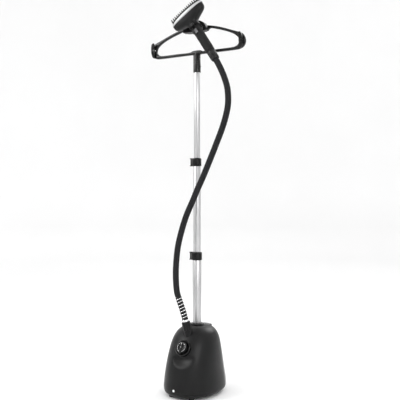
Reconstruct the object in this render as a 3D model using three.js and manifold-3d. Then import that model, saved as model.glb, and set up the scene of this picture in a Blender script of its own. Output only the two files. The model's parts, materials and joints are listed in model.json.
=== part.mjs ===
// Upright garment steamer: base with boiler and tank, three-section pole, hanger, steam head and hose.
// Millimetres, +Z up. The origin is on the floor under the middle of the base; the front faces -Y.
import * as THREE from 'three';
import { mergeVertices } from 'three/addons/utils/BufferGeometryUtils.js';
import Module from 'manifold-3d';

const wasm = await Module();
wasm.setup();

// Driving dimensions.
const GAP = 0.4;
const POLE_Y = 14.35;
const BASE_CURVE = 2.2;
// Rows of the bell-shaped base: height, half width, front and rear measured from the pole axis.
const BASE_ROWS = [
  [8, 100, -146, 116], [18, 110, -154, 125], [28, 112.5, -157, 129.5], [40, 113, -157, 129.5],
  [60, 112, -154.5, 126.5], [100, 107, -149, 118], [150, 101, -135, 108], [200, 93, -114, 97],
  [225, 86, -98, 89], [245, 75, -80, 78], [258, 60, -62, 66], [265, 44, -46, 52], [269, 26, -28, 34],
];
const TRAY_TOP = 28;
const WALL = 3;
const BULKHEAD_Y = 38;
const LENS_Z = 34.4;
const HANDLE_Z = 261;
const WHEEL_R = 13;
const WHEEL_X = 66;
const WHEEL_Y = 72;

const SOCKET_FLOOR = 200;
const LOWER_TUBE = { radius: 17.5, wall: 1.3, bottom: SOCKET_FLOOR, top: 552 };
const MIDDLE_TUBE = { radius: 15, wall: 1.2, bottom: 480, top: 931 };
const UPPER_TUBE = { radius: 12.5, wall: 1.2, bottom: 860, top: 1356.4 };
const LOWER_CLAMP_Z = 544;
const UPPER_CLAMP_Z = 923;
const CLAMP_HALF = 16;
const LEVER_HALF = 12;
const SLEEVE_R = 15;
const SLEEVE_BOTTOM = 1285;

const FRAME_HALF_DEPTH = 7;
const CLIP_X = 207;
const CLIP_Z = 1392;

const HANDSET_TILT = -33.75 * Math.PI / 180;
const HANDSET_AT = [116, -55, 1317];
const HANDLE_R = 19;
const CUFF_LENGTH = 40;
const NECK_AT = 165;
const PLATE_AT = 226;
const BRISTLES = 15;
const BRISTLE_Y = -6;

const HOSE_R = 12;
const PORT_AT = [5.5, -78, 246];
const PORT_LEAN = 10 * Math.PI / 180;
const PORT_TILT = -8.3 * Math.PI / 180;
const KNOB_AT = [6, -117.5, 194];
const KNOB_LEAN = 64 * Math.PI / 180;
// Where the hose runs: up from the port, across the front of the pole, and back up into the steam head.
const HOSE_ROOT = [[2.8, -81.4, 264.8], [-2.3, -87.5, 299.6], [-12.5, -93, 340], [-28.4, -98, 388]];
const HOSE_LOWER = [
  [-29, -98, 391], [-33.4, -99.3, 408], [-37, -100, 440], [-38, -100, 501], [-34, -94, 576],
  [-25, -88, 629], [-4, -79, 705], [26, -71, 775], [38, -69, 803],
];
const HOSE_UPPER = [
  [38, -69, 804], [63, -66, 855], [103, -64, 942], [124, -62, 991], [144, -60, 1039], [161, -58, 1090],
  [171, -57, 1140], [168, -56, 1198], [155, -55, 1240], [138, -55, 1278],
  [116, -55, 1317], [94.9, -55, 1348.6],
];

const LOOKS = {
  black: [0x1c1d1f, 0.45, 0], gloss: [0x141517, 0.2, 0], rubber: [0x222222, 0.85, 0],
  smoke: [0x2a2d31, 0.15, 0], grey: [0x9b9da0, 0.35, 0.1], tube: [0xc9cbce, 0.35, 0.9],
  bright: [0xe4e5e7, 0.15, 1], cast: [0x9a9b9c, 0.6, 0.8], white: [0xf2f2ee, 0.3, 0],
  cloth: [0x202124, 0.9, 0], clear: [0xd8d4c8, 0.4, 0], brass: [0xb59a52, 0.35, 0.9],
};

const machine = new THREE.Group();
machine.position.y = POLE_Y;

function place(name, geometry, look, parent = machine) {
  const [color, roughness, metalness] = LOOKS[look];
  const mesh = new THREE.Mesh(geometry, new THREE.MeshStandardMaterial({ color, roughness, metalness }));
  mesh.name = name;
  parent.add(mesh);
  return mesh;
}

// Shapes.
function moved(geometry, x = 0, y = 0, z = 0) {
  return geometry.translate(x, y, z);
}

function rod(radius, low, high, sides = 16, topRadius = radius) {
  const g = new THREE.CylinderGeometry(topRadius, radius, high - low, sides);
  return g.rotateX(Math.PI / 2).translate(0, 0, (low + high) / 2);
}

function block(x0, x1, y0, y1, z0, z1) {
  const box = new THREE.BoxGeometry(x1 - x0, y1 - y0, z1 - z0);
  return box.translate((x0 + x1) / 2, (y0 + y1) / 2, (z0 + z1) / 2);
}

// Turned piece: radius and height pairs, counter-clockwise from the lower inside corner.
function turned(profile, sides = 20) {
  const points = profile.map(([r, z]) => new THREE.Vector2(r, z));
  if (profile[0][0] > 0) {
    points.push(points[0].clone());
  }
  return new THREE.LatheGeometry(points, sides).rotateX(Math.PI / 2);
}

function ring(inner, outer, low, high, sides = 20) {
  return turned([[inner, low], [outer, low], [outer, high], [inner, high]], sides);
}

function plate(points, low, high) {
  const shape = new THREE.Shape(points.map(([x, y]) => new THREE.Vector2(x, y)));
  return new THREE.ExtrudeGeometry(shape, { depth: high - low, bevelEnabled: false }).translate(0, 0, low);
}

function smooth(points) {
  return new THREE.CatmullRomCurve3(points.map((p) => new THREE.Vector3(...p)), false, 'centripetal');
}

function tube(curve, radius, steps, sides = 8) {
  const shape = new THREE.Shape().absarc(0, 0, radius, 0, 2 * Math.PI);
  const sweep = { steps, curveSegments: sides / 2, extrudePath: curve, bevelEnabled: false };
  return new THREE.ExtrudeGeometry(shape, sweep);
}

// Rounded-rectangle skin through rows of height, half width, front and rear.
function skin(rows, curve, sides) {
  const heights = rows.map((row) => row[0]);
  const profile = [[0, heights[0]], ...heights.map((z) => [1, z]), [0, heights.at(-1)]];
  const g = turned(profile, sides);
  const p = g.attributes.position;
  const bend = (v) => Math.sign(v) * Math.abs(v) ** (2 / curve);
  for (let i = 0; i < p.count; i += 1) {
    const off = (r) => Math.abs(r[0] - p.getZ(i));
    const row = rows.reduce((best, r) => (off(r) < off(best) ? r : best));
    const middle = (row[2] + row[3]) / 2;
    p.setX(i, row[1] * bend(p.getX(i)));
    p.setY(i, middle + (row[3] - row[2]) / 2 * bend(p.getY(i)));
  }
  return g;
}

function rowAt(z) {
  const i = Math.min(BASE_ROWS.length - 2, Math.max(0, BASE_ROWS.findIndex((row) => row[0] >= z) - 1));
  const a = BASE_ROWS[i];
  const b = BASE_ROWS[i + 1];
  const t = (z - a[0]) / (b[0] - a[0]);
  return a.map((v, k) => v + (b[k] - v) * t);
}

// The base's bell between two heights, drawn in by an inset on every side and on top.
function bell(low, high, inset = 0) {
  const between = BASE_ROWS.map((row) => row[0]).filter((z) => z > low + 1 && z < high - 1);
  const rows = [low, ...between, high].map((z) => {
    const [, half, front, rear] = rowAt(Math.min(269, z + inset));
    return [z, half - inset, front + inset, rear - inset];
  });
  return skin(rows, BASE_CURVE, 24);
}

// Cuts and joins.
function solid(geometry) {
  if (geometry instanceof wasm.Manifold) {
    return geometry;
  }
  const g = geometry.clone();
  g.deleteAttribute('normal');
  g.deleteAttribute('uv');
  const merged = mergeVertices(g, 1e-4);
  const index = merged.index.array;
  const faces = [];
  for (let i = 0; i < index.length; i += 3) {
    const [a, b, c] = [index[i], index[i + 1], index[i + 2]];
    if (a !== b && b !== c && a !== c) {
      faces.push(a, b, c);
    }
  }
  const vertProperties = new Float32Array(merged.attributes.position.array);
  return new wasm.Manifold(new wasm.Mesh({ numProp: 3, vertProperties, triVerts: new Uint32Array(faces) }));
}

function shaped(start, added = [], cut = []) {
  const joined = added.reduce((body, piece) => body.add(solid(piece)), solid(start));
  const mesh = cut.reduce((body, piece) => body.subtract(solid(piece)), joined).getMesh();
  const g = new THREE.BufferGeometry();
  g.setAttribute('position', new THREE.BufferAttribute(new Float32Array(mesh.vertProperties), 3));
  g.setIndex(new THREE.BufferAttribute(new Uint32Array(mesh.triVerts), 1));
  g.computeVertexNormals();
  return g;
}

function tilted(group, x, y, z, aroundX, aroundY = 0) {
  group.position.set(x, y, z);
  group.rotation.set(aroundX, aroundY, 0);
  machine.add(group);
  return group;
}

const knobGroup = tilted(new THREE.Group(), ...KNOB_AT, KNOB_LEAN);
const portGroup = tilted(new THREE.Group(), ...PORT_AT, PORT_LEAN, PORT_TILT);
const handset = tilted(new THREE.Group(), ...HANDSET_AT, 0, HANDSET_TILT);

function inFrameOf(group, geometry) {
  group.updateMatrix();
  return geometry.applyMatrix4(group.matrix);
}

// Base: tray, feet, wheels and the cord's gland.
function baseTray() {
  const posts = [90, 210, 330].map((a) => {
    const t = a * Math.PI / 180;
    return moved(rod(5, 9, 49.6, 10), 20 * Math.cos(t), -50 + 20 * Math.sin(t));
  });
  const seat = moved(ring(19.2, 22, 9, 22, 24), 0, WHEEL_Y - 6);
  const added = [...posts, seat];
  const cut = [];
  for (const side of [-1, 1]) {
    const x = side * WHEEL_X;
    for (const dx of [-9.5, 9.5]) {
      added.push(block(x + dx - 1.5, x + dx + 1.5, WHEEL_Y - 6, WHEEL_Y + 6, 9, 20));
    }
    cut.push(block(x - 7.5, x + 7.5, WHEEL_Y - 15, WHEEL_Y + 15, 0, 12));
    cut.push(moved(rod(2.9, -14, 14, 12).rotateY(Math.PI / 2), x, WHEEL_Y, WHEEL_R));
    cut.push(moved(rod(4.4, 0, 20, 12), side * 45, -118));
  }
  cut.push(moved(rod(7.4, -20, 20, 16).rotateX(Math.PI / 2), 40, 117, 17.5));
  cut.push(moved(rod(4.4, -6, 6, 10).rotateX(Math.PI / 2), 0, WHEEL_Y - 26, 16));
  const pan = solid(bell(8, TRAY_TOP)).subtract(solid(bell(11, TRAY_TOP + 4, WALL)));
  place('base_tray', shaped(pan, added, cut), 'black');
}

function undercarriage() {
  for (const [name, side] of [['left', -1], ['right', 1]]) {
    const foot = turned([[0, 0], [11, 0], [12, 2], [12, 7.6], [4, 7.6], [4, 13], [0, 13]], 20);
    place(`foot_${name}`, foot, 'rubber').position.set(side * 45, -118, 0);
    const tread = [[2.9, -6], [12, -6], [13, -5], [13, 5], [12, 6], [2.9, 6]];
    const tyre = turned(tread, 24).rotateY(Math.PI / 2);
    place(`wheel_${name}`, tyre, 'rubber').position.set(side * WHEEL_X, WHEEL_Y, WHEEL_R);
    const axle = rod(2.5, -12.5, 12.5, 12).rotateY(Math.PI / 2);
    place(`axle_${name}`, axle, 'bright').position.set(side * WHEEL_X, WHEEL_Y, WHEEL_R);
  }
  const gland = turned([[4, -12], [7, -12], [7, 6], [6, 9.5], [4, 9.5]], 16).rotateX(-Math.PI / 2);
  place('cord_gland', gland, 'rubber').position.set(40, 117, 17.5);
}

// Base: front housing with its bulkhead, and the socket that holds the pole.
function housing() {
  const outer = solid(bell(TRAY_TOP + GAP, 269));
  const room = solid(bell(TRAY_TOP - 1, 264, WALL));
  const front = solid(block(-150, 150, -180, BULKHEAD_Y, 0, 300));
  const wall = outer.intersect(solid(block(-150, 150, BULKHEAD_Y - WALL, BULKHEAD_Y, 0, 300)));
  const holes = [
    rod(26.6, 190, 280, 24),
    moved(rod(5.3, -10, 10, 16).rotateX(Math.PI / 2), -14, -157, LENS_Z),
    inFrameOf(knobGroup, rod(14, -20, 20, 20)),
    inFrameOf(portGroup, rod(15.4, -30, 40, 20)),
  ];
  place('housing_shell', shaped(outer.subtract(room).intersect(front), [wall], holes), 'black');
  const socket = [
    [0, 196], [22, 196], [22, 240], [26, 244], [26, 269.6], [30, 270.4], [30, 272], [21, 275],
    [17.9, 273], [17.9, SOCKET_FLOOR - GAP], [0, SOCKET_FLOOR - GAP],
  ];
  place('pole_socket', turned(socket, 24), 'gloss');
  const lens = rod(5, 0, 7.6, 16).rotateX(Math.PI / 2);
  place('indicator_lens', lens, 'white').position.set(-14, -149.6, LENS_Z);
}

// Base: knob with its bezel and switch, and the port, coupling nut and spring that hold the hose.
function controls() {
  const dish = [[14.5, 1.5], [31, 1.5], [32, 3], [29, 6], [25, 4.5], [14.5, 4.5]];
  place('knob_bezel', turned(dish, 24), 'gloss', knobGroup);
  const grip = block(-3, 3, -18, 18, 15, 19);
  const knob = turned([[0, 5], [21, 5], [21, 14], [18.5, 16.5], [0, 16.5]], 24);
  place('power_knob', shaped(knob, [rod(3, -12, 8, 12), grip]), 'black', knobGroup);
  const body = shaped(block(-13, 13, -13, 13, -32, -13), [rod(7, -15, 1, 16)], [rod(3.4, -16, 3, 12)]);
  place('rotary_switch', body, 'black', knobGroup);

  const boss = [[9, -24], [12, -24], [15, -20], [15, 12], [9, 12]];
  place('port_boss', turned(boss, 24), 'black', portGroup);
  const ribs = [];
  for (let i = 0; i < 10; i += 1) {
    ribs.push(moved(rod(1.6, 16, 46, 6), 16, 0).rotateZ(i * Math.PI / 5));
  }
  const nut = turned([[13, 12.5], [16, 12.5], [16, 47], [14.5, 48.5], [13, 48.5]], 24);
  place('collar_nut', shaped(nut, ribs), 'black', portGroup);
  place('port_ring', turned([[13, 49], [14.8, 49], [14.8, 57], [13, 57]], 24), 'bright', portGroup);
  place('hose_root', tube(smooth(HOSE_ROOT), HOSE_R, 10, 12), 'cloth');
  const coil = new Spring(smooth(HOSE_ROOT), HOSE_R + 2.8, 7, 0.36, 0.985);
  place('bend_spring', tube(coil, 1.5, 63, 6), 'bright');
}

// A coil wound round another curve, over part of its length.
class Spring extends THREE.Curve {
  constructor(core, radius, turns, from, to) {
    super();
    Object.assign(this, { core, radius, turns, from, to });
  }

  getPoint(t) {
    const at = this.from + (this.to - this.from) * t;
    const along = this.core.getTangentAt(at);
    const side = new THREE.Vector3(0, -1, 0).cross(along).normalize();
    const other = along.clone().cross(side);
    const turn = 2 * Math.PI * this.turns * t;
    const out = side.multiplyScalar(Math.cos(turn)).addScaledVector(other, Math.sin(turn));
    return this.core.getPointAt(at).addScaledVector(out, this.radius);
  }
}

// Base: what boils the water, between the tray and the port.
function steamWorks() {
  const inlet = moved(rod(4, 0, 14, 12).rotateX(-Math.PI / 2), 0, 50, 12);
  const cup = solid(rod(55, 0, 62, 24)).subtract(solid(rod(51, 4, 70, 24)));
  const cupBore = moved(rod(2, -3, 20, 10).rotateX(-Math.PI / 2), 0, 50, 12);
  place('boiler_cup', shaped(cup, [inlet], [cupBore]), 'cast').position.set(0, -50, 50);
  const spigot = moved(rod(5, 2, 23, 12), 0, -20);
  const lid = shaped(rod(55, 0, 5.6, 24), [spigot], [moved(rod(2.6, -2, 30, 10), 0, -20)]);
  place('boiler_lid', lid, 'cast').position.set(0, -50, 112.4);
  const coil = new THREE.EllipseCurve(0, 0, 38, 38, 0.35, 2 * Math.PI - 0.35);
  const loop = new THREE.CatmullRomCurve3(coil.getPoints(24).map((p) => new THREE.Vector3(p.x, p.y, 0)));
  place('heater_element', tube(loop, 4, 20, 8), 'cast').position.set(0, -50, 45.5);
  const thermostat = shaped(rod(11, 0, 6, 16), [block(-4, 4, -14, 14, 4, 9)]);
  place('thermostat', thermostat, 'brass').position.set(24, -38, 118.4);
  const feed = [
    [0, 43, 16], [0, 34, 16], [0, 27, 20], [0, 25, 34], [0, 25, 50], [0, 21, 61], [0, 17, 62], [0, 14.6, 62],
  ];
  place('feed_tube', tube(smooth(feed), 4, 18, 8), 'clear');
  const steam = [[0, -70, 136], [0, -70, 165], [0, -71, 195], [0, -73, 220]];
  place('steam_tube', tube(smooth(steam), 6, 8, 10), 'clear');
  place('terminal_block', block(-80, -44, 4, 20, 11.4, 25), 'white');
}

// Water tank with its fold-up handle, screw cap and sprung valve.
function waterTank() {
  const back = solid(block(-150, 150, BULKHEAD_Y + 1, 200, 0, 300));
  const outer = solid(bell(TRAY_TOP + GAP, 258)).intersect(back);
  const behind = solid(block(-150, 150, BULKHEAD_Y + 4, 200, 0, 300));
  const room = solid(bell(TRAY_TOP + 3, 236, 2.5)).intersect(behind);
  const neck = moved(rod(15, 21, 34, 24), 0, WHEEL_Y - 6);
  const bore = moved(rod(12, 10, 40, 24), 0, WHEEL_Y - 6);
  const pocket = moved(plate(handleOutline(0.6), HANDLE_Z - 5, 290), 0, 60);
  const rim = solid(moved(plate(handleOutline(2.6), HANDLE_Z - 16, HANDLE_Z + 1.6), 0, 60)).intersect(back);
  place('water_tank', shaped(outer.subtract(room).add(rim), [neck], [bore, pocket]), 'smoke');
  const hinge = rod(2.4, -24, 24, 12).rotateY(Math.PI / 2);
  const slab = moved(plate(handleOutline(0), -2.4, 2.4), 0, 14.6);
  const window = moved(plate([[-18, 4], [18, 4], [15, 11], [-15, 11]], -5, 5), 0, 14.6);
  place('tank_handle', shaped(slab, [hinge], [window]), 'grey').position.set(0, 45.4, HANDLE_Z);
  const cap = [
    [2.6, 13], [17, 13], [18, 14], [18, 27], [15.4, 27], [15.4, 16], [2.6, 16],
  ];
  place('tank_cap', turned(cap, 24), 'black').position.set(0, WHEEL_Y - 6, 0);
  const plunger = [[0, 11.5], [2.2, 11.5], [2.2, 17], [9, 17.5], [9, 19], [2.2, 20], [2.2, 30], [0, 30]];
  place('valve_plunger', turned(plunger, 14), 'white').position.set(0, WHEEL_Y - 6, 0);
}

// The fold-up handle seen from above: straight along its hinge, rounded at the rear.
function handleOutline(margin) {
  const rim = [];
  for (let i = 0; i <= 10; i += 1) {
    const t = Math.PI * i / 10;
    rim.push([(33 + margin) * Math.cos(t), -4 + (19 + margin) * Math.sin(t)]);
  }
  const hinge = 26 + 3 * margin;
  return [[-hinge, -14.6 - 5 * margin], [hinge, -14.6 - 5 * margin], ...rim];
}

// Pole: three nested tubes, their end bushes, and the top sleeve with its release button.
function pole() {
  for (const [name, t] of [['lower', LOWER_TUBE], ['middle', MIDDLE_TUBE]]) {
    place(`tube_${name}`, ring(t.radius - t.wall, t.radius, t.bottom, t.top, 24), 'tube');
  }
  const t = UPPER_TUBE;
  const hole = moved(rod(4.2, 8, 20, 12).rotateY(Math.PI / 2), 0, 0, 1308);
  const top = shaped(ring(t.radius - t.wall, t.radius, t.bottom, t.top, 24), [], [hole]);
  place('tube_upper', top, 'tube');
  const bushes = [['middle', MIDDLE_TUBE, LOWER_TUBE], ['upper', UPPER_TUBE, MIDDLE_TUBE]];
  for (const [name, own, around] of bushes) {
    const fit = around.radius - around.wall - GAP;
    const inside = own.radius - own.wall - GAP;
    const bush = [[7, -12], [fit, -12], [fit, -GAP], [inside, -GAP], [inside, 12], [7, 12]];
    place(`bush_${name}`, turned(bush, 24), 'black').position.set(0, 0, own.bottom);
  }
  const sleeve = ring(UPPER_TUBE.radius + GAP, SLEEVE_R, SLEEVE_BOTTOM, UPPER_TUBE.top, 24);
  place('pole_sleeve', shaped(sleeve, [], [hole]), 'black');
  const button = rod(3.7, 0, 5.4, 14, 3.2).rotateY(Math.PI / 2);
  place('sleeve_button', button, 'gloss').position.set(11.8, 0, 1308);
}

// Pole: one flip-lever clamp, for the end of an outer tube and the tube that slides in it.
function clamp(name, z, outer, inner) {
  const band = outer.radius + 2.6;
  const pinX = -band - 7;
  const bore = outer.radius + GAP;
  const neck = inner.radius + GAP;
  const group = new THREE.Group();
  group.position.z = z;
  machine.add(group);
  const collar = turned([
    [bore, -CLAMP_HALF], [band, -CLAMP_HALF], [band, 13], [band - 2, CLAMP_HALF], [neck, CLAMP_HALF],
    [neck, 9.5], [bore, 9.5],
  ], 20);
  const lugs = [[-CLAMP_HALF, -LEVER_HALF - GAP], [LEVER_HALF + GAP, CLAMP_HALF]].map(([low, high]) => {
    const outline = [[-bore - 1, -6], [-bore - 1, 6], [pinX - 4, 6], [pinX - 7, 2], [pinX - 7, -6]];
    return plate(outline.reverse(), low, high);
  });
  const cuts = [
    moved(rod(2.4, -20, 20, 12), pinX, 0),
    block(-band - 2, -neck + 1, -0.8, 0.8, -LEVER_HALF, LEVER_HALF),
  ];
  place(`clamp_${name}_body`, shaped(collar, lugs, cuts), 'black', group);
  place(`clamp_${name}_pin`, rod(2, -CLAMP_HALF, CLAMP_HALF, 12), 'bright', group).position.x = pinX;
  const arc = solid(ring(band + 0.9, band + 4.2, -LEVER_HALF, LEVER_HALF, 28));
  const reach = band + 10;
  const wedge = [[0, 0], [-reach, -1.5], [-reach, -reach], [reach * 0.55, -reach]];
  const sector = arc.intersect(solid(plate(wedge, -20, 20)));
  const link = block(pinX, -band - 1.2, -5.5, -1.5, -LEVER_HALF, LEVER_HALF);
  const knuckle = moved(rod(5.6, -LEVER_HALF, LEVER_HALF, 18), pinX, 0);
  const lever = shaped(sector, [link, knuckle], [moved(rod(2.4, -20, 20, 12), pinX, 0)]);
  place(`clamp_${name}_lever`, lever, 'black', group);
}

// Hanger: a closed loop for the shoulders with a plug for the pole, and a sprung clip at each end.
function hanger() {
  const outside = [
    [0, 1474], [45, 1470], [89, 1461], [130, 1448], [165, 1435], [192, 1425], [207, 1418], [216, 1406],
    [219, 1392], [216, 1376], [207, 1365], [190, 1358.5], [168, 1357.4],
  ];
  const inside = [
    [0, 1444], [45, 1444], [52, 1458], [89, 1450], [130, 1437], [165, 1424], [186, 1415], [195, 1406],
    [197, 1392], [194, 1379], [186, 1371], [168, 1368.6], [24, 1368.6], [20, 1374], [0, 1374],
  ];
  const both = (half) => [...half, ...half.filter(([x]) => x > 0).reverse().map(([x, z]) => [-x, z])];
  const upright = (points, low, high) => plate(both(points), low, high).rotateX(Math.PI / 2);
  const loop = solid(upright(outside, -FRAME_HALF_DEPTH, FRAME_HALF_DEPTH));
  const hole = solid(upright(inside, -20, 20));
  const ears = [-1, 1].map((side) => block(
    side * CLIP_X - 3, side * CLIP_X + 3, -18, 0, CLIP_Z - 5, CLIP_Z + 5,
  ));
  const eyes = moved(rod(2.4, -250, 250, 12).rotateY(Math.PI / 2), 0, -13, CLIP_Z);
  place('hanger_frame', shaped(loop.subtract(hole), [...ears, rod(10.8, 1316, 1360, 24)], [eyes]), 'gloss');

  for (const [name, side] of [['left', -1], ['right', 1]]) {
    const group = new THREE.Group();
    group.position.set(side * CLIP_X, -13, CLIP_Z);
    machine.add(group);
    const profile = [
      [5.4, -31], [1.5, -31], [-4.5, -4], [-4.5, 5], [-8, 29], [-5, 31], [-2.5, 26], [2.8, 5], [2.8, -5],
    ];
    const acrossX = new THREE.Matrix4().set(0, 0, 1, 0, 1, 0, 0, 0, 0, 1, 0, 0, 0, 0, 0, 1);
    const jaw = plate(profile, -11, 11).applyMatrix4(acrossX);
    const cuts = [block(-3.6, 3.6, -12, 8, -6.5, 6.5), rod(2.4, -20, 20, 12).rotateY(Math.PI / 2)];
    place(`hanger_clip_${name}`, shaped(jaw, [], cuts), 'gloss', group);
    place(`clip_pin_${name}`, rod(2, -11, 11, 12).rotateY(Math.PI / 2), 'bright', group);
  }
}

// Hub on the hanger with the open cradle that the steam head hangs in.
function hub() {
  const dome = [
    [-50, 1444], [60, 1444], [56, 1462], [46, 1476], [30, 1485], [8, 1488], [-14, 1485], [-34, 1474],
    [-47, 1458],
  ];
  const back = plate(dome, FRAME_HALF_DEPTH + GAP, 30).rotateX(Math.PI / 2);
  const hook = solid(inFrameOf(handset, ring(HANDLE_R - 4, HANDLE_R + 5, 146, NECK_AT - GAP, 32)));
  const rear = solid(inFrameOf(handset, block(-30, 30, -4, 40, 130, 190)));
  const arm = inFrameOf(handset, block(-16, 16, 17, 32, 147, NECK_AT - GAP - 1));
  const bore = inFrameOf(handset, rod(HANDLE_R + 0.5, 120, 200, 32));
  const room = inFrameOf(handset, block(-100, 100, -40, 26.5, NECK_AT - GAP, 240));
  place('hub_cradle', shaped(back, [hook.intersect(rear), arm], [bore, room]), 'black');
}

// Steam head: cuff, handle, fan-shaped shell, plate with steam holes, brush and sliding switch.
function steamHead() {
  const cuff = [[13, 0.5], [15.5, 0], [17.2, 3], [17.2, CUFF_LENGTH - GAP], [13, CUFF_LENGTH - GAP]];
  place('handle_cuff', turned(cuff, 28), 'black', handset);
  const grip = turned([
    [13, CUFF_LENGTH], [18.2, CUFF_LENGTH], [HANDLE_R, 50], [HANDLE_R, NECK_AT - GAP], [6, NECK_AT - GAP],
    [6, 100], [13, 96],
  ], 24);
  const slot = block(-6.5, 6.5, -25, -13.5, 129.4, 162);
  place('handle_grip', shaped(grip, [], [slot]), 'black', handset);
  const thumb = shaped(block(-6, 6, -20.5, -14, 130, 149), [block(-6, 6, -22.5, -19, 141, 147)]);
  place('steam_switch', thumb, 'grey', handset);
  const rows = [
    [NECK_AT, 22.5, -22.5, 22.5], [174, 22.5, -22.5, 22.5], [176, 20, -20, 20], [184, 25, -21, 21],
    [190, 35, -22, 22], [197, 55, -23, 23], [203, 70, -24, 24], [210, 76, -24.5, 24.5],
    [PLATE_AT, 78, -25, 25],
  ];
  const inner = rows.slice(3).map(([z, half, low, high]) => [z + 4, half - 3, low + 3, high - 3]);
  const shell = shaped(skin(rows, 2.4, 24), [], [skin(inner, 2.4, 24), rod(6.6, 150, 200, 16)]);
  place('head_shell', shell, 'black', handset);
  const holes = [];
  for (let i = -4; i <= 4; i += 1) {
    holes.push(moved(rod(2, 220, 250, 8), i * 14, (i % 2) * 7));
  }
  const faceRows = [
    [PLATE_AT + GAP, 77, -24, 24], [PLATE_AT + 2, 79.5, -26, 26], [PLATE_AT + 8, 78, -25, 25],
    [PLATE_AT + 10, 71, -20, 20],
  ];
  const face = skin(faceRows, 2.2, 28);
  place('steam_plate', shaped(face, [], holes), 'grey', handset);
  place('steam_pipe', ring(3.6, 5.6, 101, 218, 12), 'clear', handset);

  const bar = skin([[PLATE_AT + 10.5, 74, -22, 22], [PLATE_AT + 16, 72, -20.5, 20.5]], 2.2, 28);
  const teeth = [];
  for (let i = 0; i < BRISTLES; i += 1) {
    const x = -66 + 132 * i / (BRISTLES - 1);
    teeth.push(moved(rod(2.4, PLATE_AT + 15, PLATE_AT + 29, 6, 1.3), x, BRISTLE_Y));
  }
  place('brush', shaped(bar, teeth), 'black', handset);
}

// Hose: one woven hose, in the lengths that ride with the lower and with the middle tube.
function hose() {
  place('hose_lower', tube(smooth(HOSE_LOWER), HOSE_R, 16, 10), 'cloth');
  place('hose_upper', tube(smooth(HOSE_UPPER), HOSE_R, 26, 10), 'cloth');
}

baseTray();
undercarriage();
housing();
controls();
steamWorks();
waterTank();
pole();
clamp('lower', LOWER_CLAMP_Z, LOWER_TUBE, MIDDLE_TUBE);
clamp('upper', UPPER_CLAMP_Z, MIDDLE_TUBE, UPPER_TUBE);
hanger();
hub();
steamHead();
hose();
machine.updateMatrixWorld(true);

export default machine;
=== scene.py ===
import json
from math import atan2, cos, degrees, hypot, pi, radians, sin

import bmesh
import bpy
from mathutils import Matrix, Vector


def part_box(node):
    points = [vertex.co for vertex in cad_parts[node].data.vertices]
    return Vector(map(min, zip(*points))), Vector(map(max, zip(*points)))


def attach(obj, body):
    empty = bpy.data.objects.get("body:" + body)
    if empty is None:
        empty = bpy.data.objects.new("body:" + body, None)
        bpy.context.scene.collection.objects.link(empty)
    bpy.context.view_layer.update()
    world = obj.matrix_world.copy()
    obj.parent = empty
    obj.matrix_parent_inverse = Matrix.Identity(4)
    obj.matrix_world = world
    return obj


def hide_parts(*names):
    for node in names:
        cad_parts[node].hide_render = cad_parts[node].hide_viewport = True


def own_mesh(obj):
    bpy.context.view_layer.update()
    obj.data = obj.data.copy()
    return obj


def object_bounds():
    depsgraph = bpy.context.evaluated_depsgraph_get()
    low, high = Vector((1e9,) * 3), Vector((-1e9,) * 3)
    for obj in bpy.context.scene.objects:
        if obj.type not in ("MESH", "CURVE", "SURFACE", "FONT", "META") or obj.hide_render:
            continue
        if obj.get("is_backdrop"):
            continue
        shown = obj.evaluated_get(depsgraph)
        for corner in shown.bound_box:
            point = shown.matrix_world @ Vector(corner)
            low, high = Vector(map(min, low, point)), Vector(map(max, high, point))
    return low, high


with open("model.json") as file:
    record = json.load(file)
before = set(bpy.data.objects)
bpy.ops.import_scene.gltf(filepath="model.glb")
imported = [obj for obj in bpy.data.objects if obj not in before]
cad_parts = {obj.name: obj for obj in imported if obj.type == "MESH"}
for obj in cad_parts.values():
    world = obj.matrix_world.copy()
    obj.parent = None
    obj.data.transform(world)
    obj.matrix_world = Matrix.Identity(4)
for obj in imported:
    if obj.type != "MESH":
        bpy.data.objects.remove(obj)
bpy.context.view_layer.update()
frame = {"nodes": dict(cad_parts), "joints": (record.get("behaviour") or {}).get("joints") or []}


# The room: a pale round studio floor that curves up into its wall, three soft lights and the camera.
# The camera stands level with the middle of the pole and looks at the machine from its right front.
POLE_Y = (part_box("tube_lower")[0].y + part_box("tube_lower")[1].y) / 2
CAMERA_TURN = radians(30)
CAMERA_HEIGHT = 0.77
CAMERA_AWAY = 2.69
CAMERA_ASIDE = 0.012
LENS = 59.9
LIGHTS_AIM = Vector((0, 0, 0.75))
SKY_STRENGTH = 1.1


class Signal:
    """A socket of a material's nodes that sums can be written with."""

    def __init__(self, finish, socket):
        self.finish, self.socket = finish, socket

    def math(self, operation, *others):
        return self.finish.lay("ShaderNodeMath", {"operation": operation}, [self, *others])

    def __add__(self, other):
        return self.math("ADD", other)

    def __sub__(self, other):
        return self.math("SUBTRACT", other)

    def __mul__(self, other):
        return self.math("MULTIPLY", other)

    def __rsub__(self, other):
        return self.finish.lay("ShaderNodeMath", {"operation": "SUBTRACT"}, [other, self])

    __radd__ = __add__
    __rmul__ = __mul__


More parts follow.
